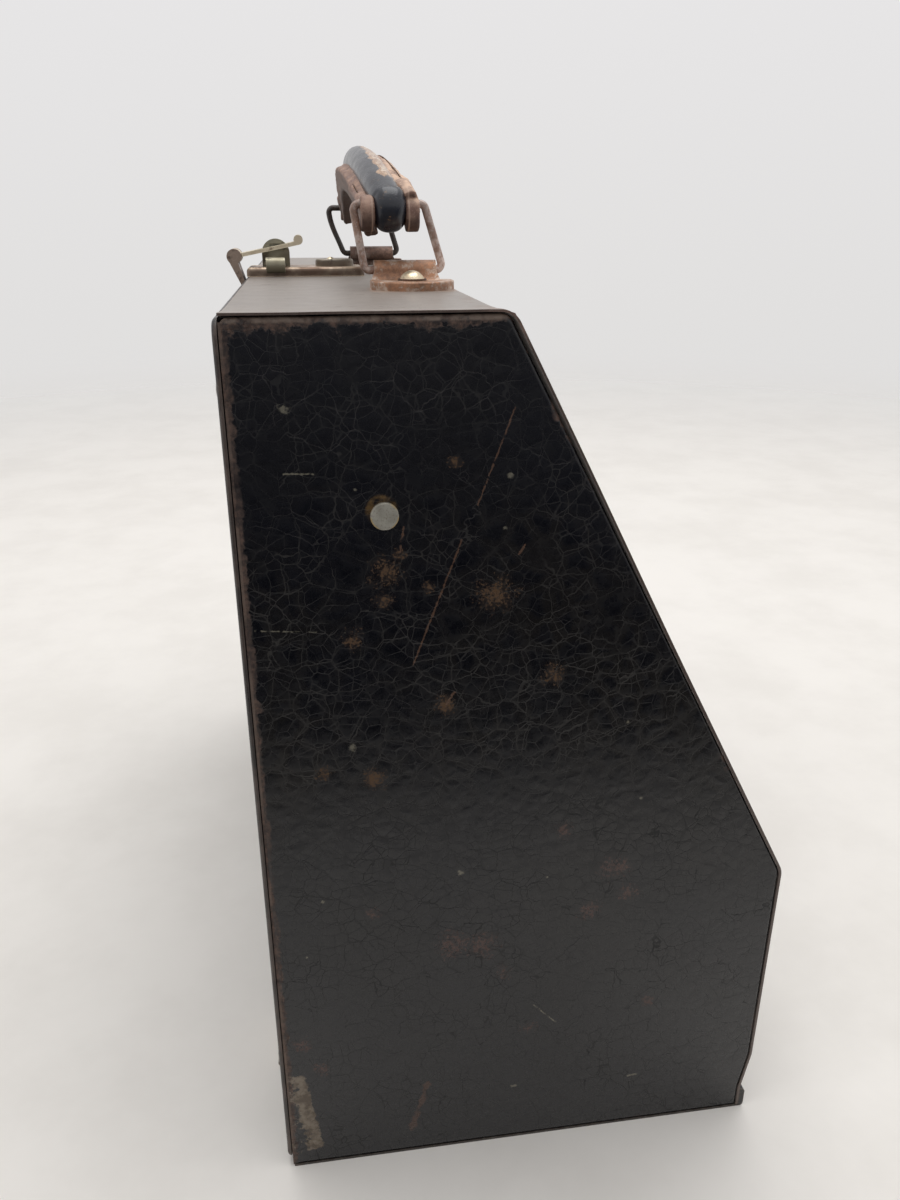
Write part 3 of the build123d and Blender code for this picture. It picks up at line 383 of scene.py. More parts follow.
def panel_enamel(name, marked):
    """Crackled black enamel of a side panel, a little rusty round its border, painted lighter towards its
    foot as a floor reflection.
    """
    made, w, place = finish_of(name)
    x, _, z = w.parts(place)
    uneven = w.noise(place, 26.0, 3.0)
    height = z + (uneven - 0.5) * 0.06
    upper = w.ramp(height, 0.135, 0.175)
    pools_band = w.ramp(height, 0.135, 0.18) * w.ramp(height, 0.225, 0.275, 1.0, 0.12)
    sparse = w.use(CRACKLE, place, Cells=74.0, Line_width=0.007, Warp=0.01, Broken=0.48)
    coarse = w.use(CRACKLE, place, Cells=118.0, Line_width=0.0125, Warp=0.0075, Broken=0.4)
    small = w.use(CRACKLE, place, Cells=225.0, Line_width=0.024, Warp=0.004, Broken=0.44)
    scuff = w.noise(place, 340.0, 5.0, 0.7)
    cloud = w.noise(place, 14.0, 4.0, 0.6)
    jag = w.noise(place, 240.0, 5.0, 0.7)

    w.ground = w.blend(w.ramp(cloud, 0.35, 0.7), ENAMEL, (0.0052, 0.0049, 0.0056))
    brown = w.ramp(w.noise(place, 24.0, 5.0, 0.65), 0.34, 0.62, 0.25, 1.0)
    between = w.fade(coarse["Pool"], 0.0, 0.8)
    haze = brown * pools_band * (0.25 + between * 0.75)
    w.lay(haze * 0.6, (0.0098, 0.0078, 0.0056))
    # Painted floor reflection: the enamel is painted lighter and greyer towards its foot.
    foot = w.fade(height, 0.02, 0.13)
    w.lay(foot * 0.85, (0.019, 0.0186, 0.02))
    deep = w.ramp(coarse["Pool"], 0.3, 1.0) * w.ramp(w.noise(place, 60.0, 2.0), 0.36, 0.54)
    pool = deep * w.ramp(pools_band, 0.0, 1.0, 0.0, 1.0)
    w.lay(pool * 0.9, (0.0009, 0.001, 0.0024))
    high = w.ramp(height, 0.195, 0.245) * w.ramp(z, 0.282, 0.296, 1.0, 0.2)
    lines = sparse["Line"] * (high * 0.7)
    w.lay(lines, (0.036, 0.033, 0.032))
    net = coarse["Line"] * (pools_band * 0.62 + high * 0.06)
    w.lay(net, (0.02, 0.017, 0.0135))
    fine_net = small["Line"] * (pools_band * 0.35)
    w.lay(fine_net, (0.0175, 0.015, 0.012))
    low_net = w.most(coarse["Line"], small["Line"]) * w.ramp(upper, 0.0, 1.0, 0.9, 0.0)
    w.lay(low_net, (0.0018, 0.0018, 0.002))
    flecks = w.ramp(w.noise(place, 1500.0, 2.0, 0.6), 0.7, 0.78)
    w.lay(flecks * 0.28, (0.07, 0.055, 0.042))

    top = (TOP_Z - WRAP_SHEET) * MM - z
    left = x - MOUTH_X * MM
    slope = along_line(w, place, SLOPE_TOP, SLOPE_OUT)
    rear = REAR_X * MM - x
    shortest = w.sum("MINIMUM", w.sum("MINIMUM", left, slope), w.sum("MINIMUM", rear, z))
    wave = w.noise(place, 55.0, 3.0)
    reach_top = w.ramp(wave, 0.35, 0.62, 0.35, 1.35) * w.ramp(jag, 0.3, 0.7, 0.25, 1.5)
    reach_side = w.ramp(wave, 0.42, 0.68, 0.12, 1.1) * w.ramp(jag, 0.3, 0.7, 0.25, 1.5)
    flaked = w.ramp(w.noise(place, 420.0, 5.0, 0.72), 0.4, 0.52, 0.25, 1.0)
    fringe_top = w.fade(top / (reach_top * TOP_FRINGE), 0.7, 1.1) * flaked
    band = w.fade(left / (w.ramp(jag, 0.3, 0.7, 0.5, 1.4) * LEFT_BAND), 0.7, 1.1)
    band = band * w.ramp(w.noise(place, 40.0, 3.0), 0.36, 0.56, 0.35, 1.0)
    fringe_side = w.fade(shortest / (reach_side * SIDE_FRINGE), 0.65, 1.1)
    fringe = w.most(fringe_top, fringe_side, band * 0.8)
    rust_tone = w.blend(w.ramp(w.noise(place, 700.0, 3.0, 0.7), 0.35, 0.68), (0.032, 0.018, 0.013),
                        (0.12, 0.07, 0.05))
    w.lay(fringe * 0.85, rust_tone)
    bare = w.fade(top, 0.0002, 0.0009) * w.ramp(jag, 0.36, 0.6)
    thin = w.fade(shortest, 0.0001, 0.0005) * w.ramp(wave, 0.4, 0.6)
    w.lay(w.most(bare, thin * 0.55), (0.145, 0.105, 0.08))
    matt = fringe

    if marked:
        orange = w.most(*[w.use(FLECKS, place, Centre=panel_point(at), Radius=size * FLECK_SPREAD * MM,
                                Grain=1150.0)["Mask"] for at, size in ORANGE_SPOTS])
        w.lay(orange * 0.6, (0.12, 0.056, 0.016))
        dark = w.most(*[w.use(FLECKS, place, Centre=panel_point(at), Radius=size * DARK_SPREAD * MM,
                              Grain=800.0)["Mask"] for at, size in DARK_SPOTS])
        w.lay(dark * 0.8, (0.066, 0.031, 0.023))
        lines = w.most(*[w.use(STROKE, place, Start=panel_point(a), Finish=panel_point(b),
                               Half_width=wide * SCRATCH_WIDTH * MM, Broken=broken - SCRATCH_MEND)["Mask"]
                         for a, b, wide, broken in SCRATCHES])
        w.lay(lines * 0.7, (0.125, 0.068, 0.042))
        smear = w.use(STROKE, place, Start=panel_point((-32.8, 33.8)), Finish=panel_point((-39.0, 10.6)),
                      Half_width=1.3 * MM, Broken=0.4, Grain=260.0)["Mask"]
        w.lay(smear * 0.6, (0.085, 0.044, 0.029))
        pale = w.most(*[w.use(STROKE, place, Start=panel_point(a), Finish=panel_point(b),
                              Half_width=wide * MM, Broken=broken)["Mask"]
                        for a, b, wide, broken in PALE_LINES])
        specks = w.most(*[w.use(STAIN, place, Centre=panel_point(at), Radius=size * MM, Grain=1400.0,
                                Firm=0.3)["Mask"] for at, size in PALE_SPECKS])
        w.lay(w.most(pale, specks) * 0.75, (0.17, 0.155, 0.115))
        halo = w.vector("DISTANCE", place, mm(STUD[0] - 0.8, FACE_Y, STUD[2] + 1.6), out=1)
        ring = w.fade(halo, 0.0038, 0.0048) * w.ramp(jag, 0.35, 0.65)
        w.lay(ring * 0.6, (0.21, 0.12, 0.035))
        inside = residue_mask(w, place)
        w.lay(inside, w.blend(w.ramp(jag, 0.4, 0.65), (0.095, 0.072, 0.052), (0.2, 0.165, 0.125)))
        matt = w.most(fringe, w.most(inside, orange))

    gloss = w.ramp(scuff, 0.3, 0.7, 0.2, 0.33)
    cracks = w.most(coarse["Line"], small["Line"] * 0.8)
    gloss = gloss + cracks * 0.35
    lower = w.ramp(high, 0.0, 0.8, 1.0, 0.2)
    fine = coarse["Line"] * -0.9 + small["Line"] * -0.5
    relief = (fine * lower + sparse["Line"] * -0.5 + coarse["Pool"] * 0.7 + small["Pool"] * 0.3
              + scuff * 0.12 + fringe * (jag * -1.2))
    near = w.bump(relief, 0.28, 0.0002)
    w.coat(Roughness=w.sum("ADD", gloss, matt * 0.4, clamp=True),
           Normal=w.bump(w.noise(place, 9.0, 2.0), 0.25, 0.004, near))
    return made


def residue_mask(w, place):
    """The strip of old paste at the foot of the panel: densest along its inner edge, flaked elsewhere."""
    jag = (w.noise(place, 420.0, 5.0, 0.72) - 0.5) * 0.0045
    mask = None
    inner = None
    for k, start in enumerate(RESIDUE):
        finish = RESIDUE[(k + 1) % len(RESIDUE)]
        run = Vector((finish[0] - start[0], 0, finish[1] - start[1])).normalized()
        outward = (-run.z, 0, run.x)
        straight = along_line(w, place, start, outward)
        side = w.ramp(straight + jag, -0.0002, 0.0005)
        mask = side if mask is None else mask * side
        if k == 1:
            inner = straight
    worn = w.noise(place, 190.0, 5.0, 0.72)
    level = worn - w.ramp(inner, 0.0012, 0.008, 0.0, 0.22)
    return mask * w.ramp(level, 0.3, 0.4)


def wrap_enamel():
    """Black enamel of the bent sheet, dusty and scuffed on top, the dusty layer partly a painted sheen, and
    bare along its edges.
    """
    made, w, place = finish_of("scuffed black enamel")
    y = w.parts(place)[1]
    cracks = w.use(CRACKLE, place, Cells=120.0, Line_width=0.03, Warp=0.006, Broken=0.54)
    mottle = w.noise(place, 130.0, 5.0, 0.65)
    grain = w.noise(place, 1300.0, 4.0, 0.7)
    streak = w.noise(w.vector("MULTIPLY", place, (1.0, 0.45, 1.0)), 150.0, 6.0, 0.7)
    level = w.ramp(w.facing()[2], 0.75, 0.97)
    w.ground = w.blend(w.ramp(mottle, 0.35, 0.68), (0.0085, 0.0085, 0.0105), (0.018, 0.016, 0.0145))
    # Pale layer on the upward faces: partly real dusting and partly a painted sheen of light grazing the
    # top.
    dust_and_painted_sheen = level * w.ramp(streak, 0.3, 0.7, 0.5, 0.72)
    w.lay(dust_and_painted_sheen, (0.15, 0.12, 0.096))
    w.lay(cracks["Line"] * 0.35, (0.05, 0.044, 0.038))
    rust = w.use(RUST, place, Amount=0.2, Scale=60.0)
    w.lay(rust["Patches"] * 0.6, (0.062, 0.03, 0.019))
    end = HALF * MM - abs(y)
    jag = w.noise(place, 260.0, 5.0, 0.7)
    rim = w.fade(end / w.ramp(jag, 0.3, 0.7, 0.0003, 0.0013), 0.6, 1.1)
    worn = w.use(EDGES, place, Reach=0.0012, Grain=420.0, Spread=0.55)["Worn"]
    bare = w.most(rim * w.ramp(level, 0.0, 1.0, 0.45, 1.0), worn * 0.7)
    corner = w.vector("DISTANCE", w.vector("MULTIPLY", place, (1.0, 0.0, 1.0)), mm(-8.6, 0, 298.0), out=1)
    rusty = w.fade(corner, 0.003, 0.01) * w.ramp(jag, 0.3, 0.62)
    spread = w.most(w.fade(y, -0.176, -0.166),
                    w.ramp(w.noise(place, 70.0, 4.0, 0.65), 0.5, 0.6, 0.0, 0.8))
    rusty = rusty * spread
    tone = w.blend(w.ramp(grain, 0.35, 0.65), (0.11, 0.062, 0.044), (0.3, 0.235, 0.185))
    tone = w.blend(w.ramp(level, 0.0, 1.0, 0.75, 0.0), tone, (0.155, 0.098, 0.075))
    w.lay(rusty * 0.85, (0.2, 0.115, 0.088))
    w.lay(bare * 0.8, tone)
    foot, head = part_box("handle_bracket_near")
    centre = ((foot.x + head.x) / 2, (foot.y + head.y) / 2, TOP_Z * MM)
    gap = w.vector("SUBTRACT", w.vector("ABSOLUTE", w.vector("SUBTRACT", place, centre)),
                   ((head.x - foot.x) / 2 - 0.004, (head.y - foot.y) / 2 - 0.004, 0.002))
    reach = w.vector("LENGTH", w.vector("MAXIMUM", gap, (0.0, 0.0, 0.0)), out=1)
    seep = w.fade(reach + (jag - 0.5) * 0.003, 0.0042, 0.0058)
    w.lay(seep * 0.6, (0.26, 0.145, 0.075))
    rough = w.ramp(mottle, 0.3, 0.7, 0.3, 0.38) + w.ramp(grain, 0.45, 0.7) * 0.06
    rough = w.sum("ADD", rough, w.most(rust["Patches"], rusty) * 0.3, clamp=True)
    relief = cracks["Line"] * -0.8 + grain * 0.22 + mottle * 0.4
    near = w.bump(relief, 0.22, 0.00016)
    w.coat(Sheen_Weight=0.6, Sheen_Roughness=0.35, Sheen_Tint=(0.95, 0.86, 0.78, 1), Roughness=rough,
           Normal=w.bump(w.noise(place, 11.0, 2.0), 0.3, 0.003, near))
    return made


def base_enamel():
    """Black enamel of the base, scuffed on its flat and thinly browned along its edge."""
    made, w, place = finish_of("black enamel of the base")
    x, y, z = w.parts(place)
    cracks = w.use(CRACKLE, place, Cells=105.0, Line_width=0.02, Warp=0.008, Broken=0.5)
    mottle = w.noise(place, 110.0, 5.0, 0.65)
    scuff = w.noise(w.vector("MULTIPLY", place, (1.0, 1.0, 0.35)), 420.0, 5.0, 0.7)
    w.ground = w.blend(w.ramp(mottle, 0.35, 0.68), ENAMEL, (0.011, 0.01, 0.0098))
    w.lay(cracks["Line"] * 0.45, (0.046, 0.041, 0.037))
    w.lay(w.ramp(scuff, 0.58, 0.72) * 0.4, (0.042, 0.036, 0.031))
    rust = w.use(RUST, place, Amount=0.22, Scale=48.0)
    w.lay(rust["Patches"] * 0.65, (0.058, 0.028, 0.018))
    worn = w.use(EDGES, place, Reach=0.0012, Grain=300.0, Spread=0.6)["Worn"]
    tone = w.blend(w.ramp(scuff, 0.35, 0.65), (0.085, 0.056, 0.042), (0.19, 0.165, 0.135))
    w.lay(worn * 0.75, tone)
    facing = w.fade(w.facing()[1], -0.9, -0.35)
    strip = facing * w.fade(y, -0.179, -0.178) * w.fade(x, -0.08, -0.0795)
    shade = w.blend(w.ramp(w.noise(place, 60.0, 3.0), 0.36, 0.62), (0.03, 0.024, 0.021),
                    (0.085, 0.06, 0.048))
    shade = w.blend(w.ramp(z, 0.24, 0.3), shade, (0.1, 0.074, 0.06))
    w.lay(strip * w.ramp(scuff, 0.34, 0.56, 0.35, 0.95), shade)
    rough = w.ramp(mottle, 0.3, 0.7, 0.26, 0.42) + w.most(rust["Patches"], worn) * 0.3
    relief = cracks["Line"] * -0.8 + scuff * 0.35
    near = w.bump(relief, 0.3, 0.0002)
    w.coat(Roughness=rough, Normal=w.bump(w.noise(place, 10.0, 2.0), 0.3, 0.003, near))
    return made


def rusty_metal(name, base, rust, amount, scale, rough, glint=0.6, edge=(0.42, 0.36, 0.31)):
    """Old sheet or wire: bare metal under brown rust, brighter where it is rubbed."""
    made, w, place = finish_of(name)
    patches = w.use(RUST, place, Amount=amount, Scale=scale)
    worn = w.use(EDGES, place, Reach=0.0005, Grain=900.0, Spread=0.62)["Worn"]
    tone = w.blend(w.ramp(patches["Grit"], 0.35, 0.66), tuple(v * 0.55 for v in rust), rust)
    w.ground = w.blend(patches["Patches"], base, tone)
    w.lay(worn * 0.55, edge)
    soot = w.fade(w.noise(place, scale * 0.6, 4.0, 0.6), 0.42, 0.62)
    w.lay(soot * 0.35, (0.03, 0.02, 0.016))
    metal = w.ramp(patches["Patches"], 0.0, 1.0, glint, 0.12)
    surface = w.ramp(patches["Grit"], 0.3, 0.7, rough - 0.08, rough + 0.16)
    w.coat(Metallic=w.most(metal, worn * glint), Roughness=surface - worn * 0.16,
           Normal=w.bump(patches["Grit"] * 0.6 + patches["Patches"], 0.5, 0.00012))
    return made


def plated_metal(name, plate, under, stain, rough, showing=0.45, metal=0.95, side_shade=0.0, reach=0.0004):
    """Worn plating over brass, stained brown in its hollows and, when asked, painted with shade in the same
    brown on its vertical faces.
    """
    made, w, place = finish_of(name)
    wear = w.noise(place, 260.0, 5.0, 0.65)
    broad = w.noise(place, 90.0, 3.0, 0.55)
    w.ground = w.blend(w.ramp(broad, showing - 0.1, showing + 0.12), plate, under)
    dirt_and_side_shade = w.ramp(wear, 0.52, 0.64)
    # Painted shade: the vertical faces are darkened with the stain colour, the tops left bright.
    if side_shade:
        painted_side_shade = w.ramp(w.facing()[2], 0.5, 0.93, side_shade, 0.0)
        dirt_and_side_shade = w.most(dirt_and_side_shade, painted_side_shade * w.ramp(wear, 0.3, 0.5, 0.75, 1.0))
    # The stain colour here is real grime and, on vertical faces, painted shade.
    w.lay(dirt_and_side_shade * 0.75, stain)
    worn = w.use(EDGES, place, Reach=reach, Grain=1200.0, Spread=0.7 if reach < 0.0006 else 0.4)["Worn"]
    w.lay(worn * (0.6 if reach < 0.0006 else 0.95), tuple(min(1.0, v * 1.35) for v in plate))
    pits = w.ramp(w.cells(place, 1500.0, "F1"), 0.12, 0.35)
    w.coat(Metallic=w.ramp(dirt_and_side_shade, 0.0, 1.0, metal, 0.35),
           Roughness=w.ramp(wear, 0.3, 0.7, rough - 0.05, rough + 0.18),
           Normal=w.bump(pits + wear * 0.8, 0.28, 0.00006))
    return made


def grip_leather():
    """Black glazed leather, its crest rubbed down to tan and cream, the cream partly a painted highlight,
    blue-black at its noses.
    """
    made, w, place = finish_of("glazed black leather")
    x, y, _ = w.parts(place)
    share = abs(y / (EYE_Y * MM))
    middle = (1.0 - share * share) * (15.7 * MM)
    ridge_x = GRIP_X * MM - middle * sin(GRIP_TILT)
    off = x - ridge_x
    upward = w.ramp(w.facing()[2], -0.1, 0.35)
    patch = w.noise(place, 170.0, 6.0, 0.7)
    flake = w.noise(w.vector("MULTIPLY", place, (1.0, 0.5, 1.0)), 620.0, 4.0, 0.65)
    drift = (w.noise(place, 70.0, 2.0) - 0.5) * 0.006
    band = w.fade(abs(off + drift - 0.0016), 0.001, 0.0046)
    run = w.fade(share, 0.84, 1.0)
    grit = (patch - 0.5) * 1.3 + (flake - 0.5) * 0.9
    level = band * upward * (run * 0.8) + grit
    rubbed = w.ramp(level, 0.27, 0.36)
    # Cream on the most worn crest: partly worn-through leather and partly a painted highlight where light
    # falls on it.
    cream = w.ramp(level, 0.66, 0.84) * w.ramp(w.noise(place, 90.0, 3.0), 0.42, 0.6)
    creases = w.cells(w.vector("MULTIPLY", place, (1.0, 0.5, 1.0)), 520.0)
    crack = w.fade(creases, 0.01, 0.06) * w.ramp(flake, 0.45, 0.6)
    pores = w.noise(place, 2600.0, 3.0, 0.6)
    buff = w.blend(w.ramp(flake, 0.35, 0.66), (0.27, 0.13, 0.055), (0.52, 0.33, 0.19))
    buff = w.blend(cream, buff, (0.7, 0.56, 0.42))
    w.ground = w.blend(w.ramp(w.noise(place, 60.0, 4.0), 0.35, 0.7), (0.008, 0.011, 0.019),
                       (0.021, 0.023, 0.031))
    scuffs = w.ramp(flake, 0.62, 0.74) * w.ramp(share, 0.9, 1.02, 0.4, 0.1)
    w.lay(scuffs, (0.09, 0.088, 0.095))
    w.lay(w.ramp(level, 0.14, 0.34, 0.0, 0.8), (0.05, 0.03, 0.022))
    w.lay(rubbed, buff)
    w.lay(crack * rubbed * 0.7, (0.085, 0.045, 0.028))
    folds = w.noise(w.vector("MULTIPLY", place, (1.0, 0.4, 1.0)), 300.0, 4.0)
    relief = crack * -0.5 + pores * 0.25 + rubbed * -0.35 + folds * 0.9
    w.coat(Roughness=w.ramp(patch, 0.3, 0.7, 0.26, 0.4) + rubbed * -0.05, Specular_IOR_Level=0.4,
           Coat_Weight=0.3, Coat_Roughness=0.14, Normal=w.bump(relief, 0.4, 0.0002))
    return made


def welt_leather():
    """Brown leather edge, dusty and dry, with painted shade towards its underside."""
    made, w, place = finish_of("dry brown leather")
    x, y, _ = w.parts(place)
    wear = w.noise(place, 200.0, 5.0, 0.66)
    fibre = w.noise(w.vector("MULTIPLY", place, (1.0, 0.35, 1.0)), 1500.0, 4.0, 0.65)
    w.ground = w.blend(w.ramp(wear, 0.35, 0.66), (0.175, 0.092, 0.066), (0.39, 0.245, 0.18))
    w.lay(w.ramp(fibre, 0.5, 0.72) * 0.5, (0.46, 0.33, 0.25))
    # Painted shade: the downward faces are painted darker.
    under = w.facing()[2]
    low = w.fade(under, -0.55, 0.15)
    w.lay(low * 0.75, (0.03, 0.019, 0.017))
    end = w.ramp(abs(y), 0.0865, 0.0905)
    w.lay(end * w.ramp(wear, 0.4, 0.6, 0.35, 0.8), (0.055, 0.032, 0.028))
    across = abs(x - GRIP_X * MM)
    lap = w.fade(abs(across - 0.0062), 0.0001, 0.0004) * w.ramp(abs(y), 0.078, 0.081)
    w.lay(lap * 0.7, (0.42, 0.29, 0.22))
    crown = w.ramp(x, GRIP_X * MM, GRIP_X * MM + 0.003) * w.ramp(under, 0.25, 0.8)
    w.lay(crown * w.ramp(wear, 0.38, 0.6, 0.3, 0.9), (0.72, 0.5, 0.36))
    rubbed = w.use(EDGES, place, Reach=0.0006, Grain=800.0, Spread=0.55)["Worn"]
    w.lay(rubbed * 0.7, (0.5, 0.27, 0.13))
    w.coat(Roughness=w.ramp(wear, 0.3, 0.7, 0.5, 0.74), Normal=w.bump(fibre + wear * 0.9, 0.5, 0.00022))
    return made


def thread():
    """Brown thread, twisted."""
    made, w, place = finish_of("old waxed thread")
    twist = w.noise(place, 1800.0, 3.0)
    w.ground = w.blend(w.ramp(twist, 0.35, 0.65), (0.045, 0.024, 0.016), (0.2, 0.115, 0.065))
    w.coat(Roughness=w.ramp(twist, 0.3, 0.7, 0.55, 0.8), Normal=w.bump(twist, 0.4, 0.0001))
    return made


def board_wood():
    """Softwood board inside the base: growth lines along the board, stained in places."""
    made, w, place = finish_of("plain softwood")
    long = w.vector("MULTIPLY", place, (1.0, 1.0, 0.09))
    rings = w.node("TexWave", {"bands_direction": "Y"}, Vector=long, Scale=95.0, Distortion=5.0, Detail=3.0)
    line = rings.outputs["Fac"]
    fibre = w.noise(w.vector("MULTIPLY", place, (1.0, 1.0, 0.05)), 900.0, 3.0, 0.6)
    w.ground = w.blend(w.ramp(line, 0.2, 0.9), (0.33, 0.205, 0.112), (0.5, 0.35, 0.21))
    w.lay(w.ramp(fibre, 0.45, 0.7) * 0.35, (0.24, 0.14, 0.075))
    stain = w.noise(place, 12.0, 4.0, 0.6)
    w.lay(w.ramp(stain, 0.5, 0.8, 0.0, 0.6), (0.13, 0.085, 0.055))
    w.coat(Roughness=w.ramp(fibre, 0.3, 0.7, 0.55, 0.75), Normal=w.bump(fibre, 0.35, 0.0002))
    return made


def stud_metal():
    """Pale warm-grey stud, finely pitted, its rim stained gold."""
    made, w, place = finish_of("pitted nickel stud")
    centre = w.vector("MULTIPLY", place, (1.0, 0.0, 1.0))
    away = w.vector("DISTANCE", centre, mm(STUD[0], 0, STUD[2]), out=1)
    pits = w.ramp(w.noise(place, 1500.0, 4.0, 0.7), 0.5, 0.66)
    w.ground = w.blend(w.ramp(w.noise(place, 300.0, 4.0), 0.35, 0.7), (0.31, 0.295, 0.245),
                       (0.42, 0.4, 0.34))
    w.lay(pits * 0.6, (0.17, 0.14, 0.11))
    rim = w.ramp(away, 0.0033, 0.0038) * w.ramp(w.noise(place, 260.0, 2.0), 0.42, 0.6)
    w.lay(rim * 0.7, (0.5, 0.33, 0.1))
    w.coat(Metallic=0.35, Roughness=w.ramp(pits, 0.0, 1.0, 0.42, 0.65), Normal=w.bump(pits, 0.4, -0.00008))
    return made


ENAMEL_NEAR = panel_enamel("crackled black enamel, near panel", True)
ENAMEL_FAR = panel_enamel("crackled black enamel, far panel", False)
ENAMEL_WRAP = wrap_enamel()
BASE_ENAMEL = base_enamel()
BRACKET_RUST = rusty_metal("rust-brown bracket steel", (0.78, 0.61, 0.49), (0.6, 0.31, 0.175), 0.5, 130.0,
                           0.42, 0.12, (0.86, 0.72, 0.6))
BAIL_RUST = rusty_metal("rusty bail wire", (0.72, 0.58, 0.51), (0.54, 0.35, 0.27), 0.46, 210.0, 0.36, 0.2,
                        (0.88, 0.79, 0.72))
# Painted shade: the far bail takes a much darker copy of the bail wire.
BAIL_IN_PAINTED_SHADE = rusty_metal("bail wire in painted shade", (0.085, 0.078, 0.072), (0.085, 0.058, 0.045), 0.4, 210.0, 0.32,
                        0.5, (0.2, 0.18, 0.15))
# Painted shade: the far bracket takes a darker copy of the bracket steel.
FAR_BRACKET_IN_PAINTED_SHADE = rusty_metal("bracket barrel in painted shade", (0.52, 0.39, 0.32), (0.38, 0.225, 0.165), 0.56, 130.0, 0.44,
                       0.15, (0.64, 0.54, 0.45))
RIVET_PALE = plated_metal("pale rivet", (0.74, 0.62, 0.44), (0.48, 0.35, 0.21), (0.22, 0.145, 0.09), 0.3,
                          0.56, 0.7)
WASHER_RUST = rusty_metal("rusty washer", (0.24, 0.165, 0.12), (0.15, 0.08, 0.052), 0.6, 300.0, 0.5, 0.4,
                          (0.4, 0.3, 0.2))
# The lock plate, the olive brass and the dull boss pass, as their eighth number, how much painted shade
# their vertical faces take.
LATCH_PLATE = plated_metal("worn lock plate", (0.72, 0.57, 0.42), (0.27, 0.165, 0.105),
                           (0.075, 0.048, 0.034), 0.34, 0.46, 0.45, 0.95, 0.0009)
LATCH_DARK = plated_metal("dark latch metal", (0.37, 0.28, 0.22), (0.26, 0.17, 0.125), (0.09, 0.062, 0.05),
                          0.36, 0.5, 0.5)
LATCH_STRAP = plated_metal("rubbed latch strap", (0.8, 0.69, 0.51), (0.5, 0.385, 0.24),
                           (0.17, 0.115, 0.075), 0.32, 0.54, 0.35, 0.0, 0.0007)
OLIVE_BRASS = plated_metal("olive brass", (0.46, 0.43, 0.31), (0.33, 0.295, 0.195), (0.1, 0.08, 0.055),
                           0.36, 0.5, 0.6, 0.7)
OLIVE_DARK = plated_metal("dark olive brass", (0.33, 0.315, 0.24), (0.22, 0.2, 0.145), (0.085, 0.07, 0.05),
                          0.36, 0.5, 0.6)
BOSS_METAL = plated_metal("dull boss", (0.32, 0.28, 0.22), (0.21, 0.165, 0.12), (0.09, 0.06, 0.045), 0.38,
                          0.48, 0.6, 0.7)
DULL_STEEL = plated_metal("dull aged steel", (0.4, 0.38, 0.35), (0.3, 0.265, 0.23), (0.15, 0.095, 0.07),
                          0.42, 0.52, 0.6)
STUD_METAL = stud_metal()
GRIP_LEATHER = grip_leather()
WELT_LEATHER = welt_leather()
THREAD = thread()
SOFTWOOD = board_wood()

CARRIED = (
    (ENAMEL_NEAR, "side_panel_near"),
    (ENAMEL_FAR, "side_panel_far"),
    (ENAMEL_WRAP, "cover_wrap"),
    (BASE_ENAMEL, "bottom_plate base_tray"),
    (SOFTWOOD, "base_board"),
    (STUD_METAL, "side_stud_near side_stud_far"),
    (DULL_STEEL, "hold_clip_near hold_clip_far lock_backing backing_plate_near backing_plate_far "
                 "cover_hinge_leaf_near cover_hinge_leaf_far base_hinge_leaf_near "
                 "base_hinge_leaf_far hinge_pin_near hinge_pin_far cover_hinge_rivets "
                 "base_hinge_rivets board_screws glides grip_core"),
    (WASHER_RUST, "bracket_washer_near bracket_washer_far"),
    (RIVET_PALE, "bracket_rivets lock_rivets"),
    (BRACKET_RUST, "handle_bracket_near"),
    (FAR_BRACKET_IN_PAINTED_SHADE, "handle_bracket_far"),
    (BAIL_RUST, "bail_near"),
    (BAIL_IN_PAINTED_SHADE, "bail_far"),
    (LATCH_PLATE, "lock_plate"),
    (BOSS_METAL, "lock_boss"),
    (OLIVE_DARK, "lock_staple"),
    (OLIVE_BRASS, "lock_saddle"),
    (LATCH_DARK, "hasp_leaf hasp_pin hasp_rivets"),
    (LATCH_STRAP, "hasp_strap"),
    (GRIP_LEATHER, "grip_roll"),
    (WELT_LEATHER, "grip_welt_left grip_welt_right"),
)
for material, names in CARRIED:
    for name in names.split():
        dress(nodes[name], material)


def copy_of(name, label):
    """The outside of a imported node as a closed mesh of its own."""
    made = placed(label, nodes[name].data.copy())
    body = bmesh.new()
    body.from_mesh(made.data)
    bmesh.ops.remove_doubles(body, verts=body.verts, dist=0.000002)
    bmesh.ops.dissolve_degenerate(body, edges=body.edges, dist=0.000001)
    body.to_mesh(made.data)
    body.free()
    return made


def apply_modifiers(obj):
    """The finished shape as a plain mesh, its modifiers gone."""
    graph = bpy.context.evaluated_depsgraph_get()
    graph.update()
    mesh = bpy.data.meshes.new_from_object(obj.evaluated_get(graph))
    obj.modifiers.clear()
    old = obj.data
    obj.data = mesh
    bpy.data.meshes.remove(old)


def soft_edges(made, angle):
    """Smooth shading that breaks only at true corners."""
    mesh = made.data
    if "custom_normal" in mesh.attributes:
        mesh.attributes.remove(mesh.attributes["custom_normal"])
    mesh.polygons.foreach_set("use_smooth", [True] * len(mesh.polygons))
    mesh.set_sharp_from_angle(angle=radians(angle))
    mesh.update()


def ease(value, low, high):
    """Smooth step from 0 at low to 1 at high."""
    share = min(1.0, max(0.0, (value - low) / (high - low)))
    return share * share * (3 - 2 * share)


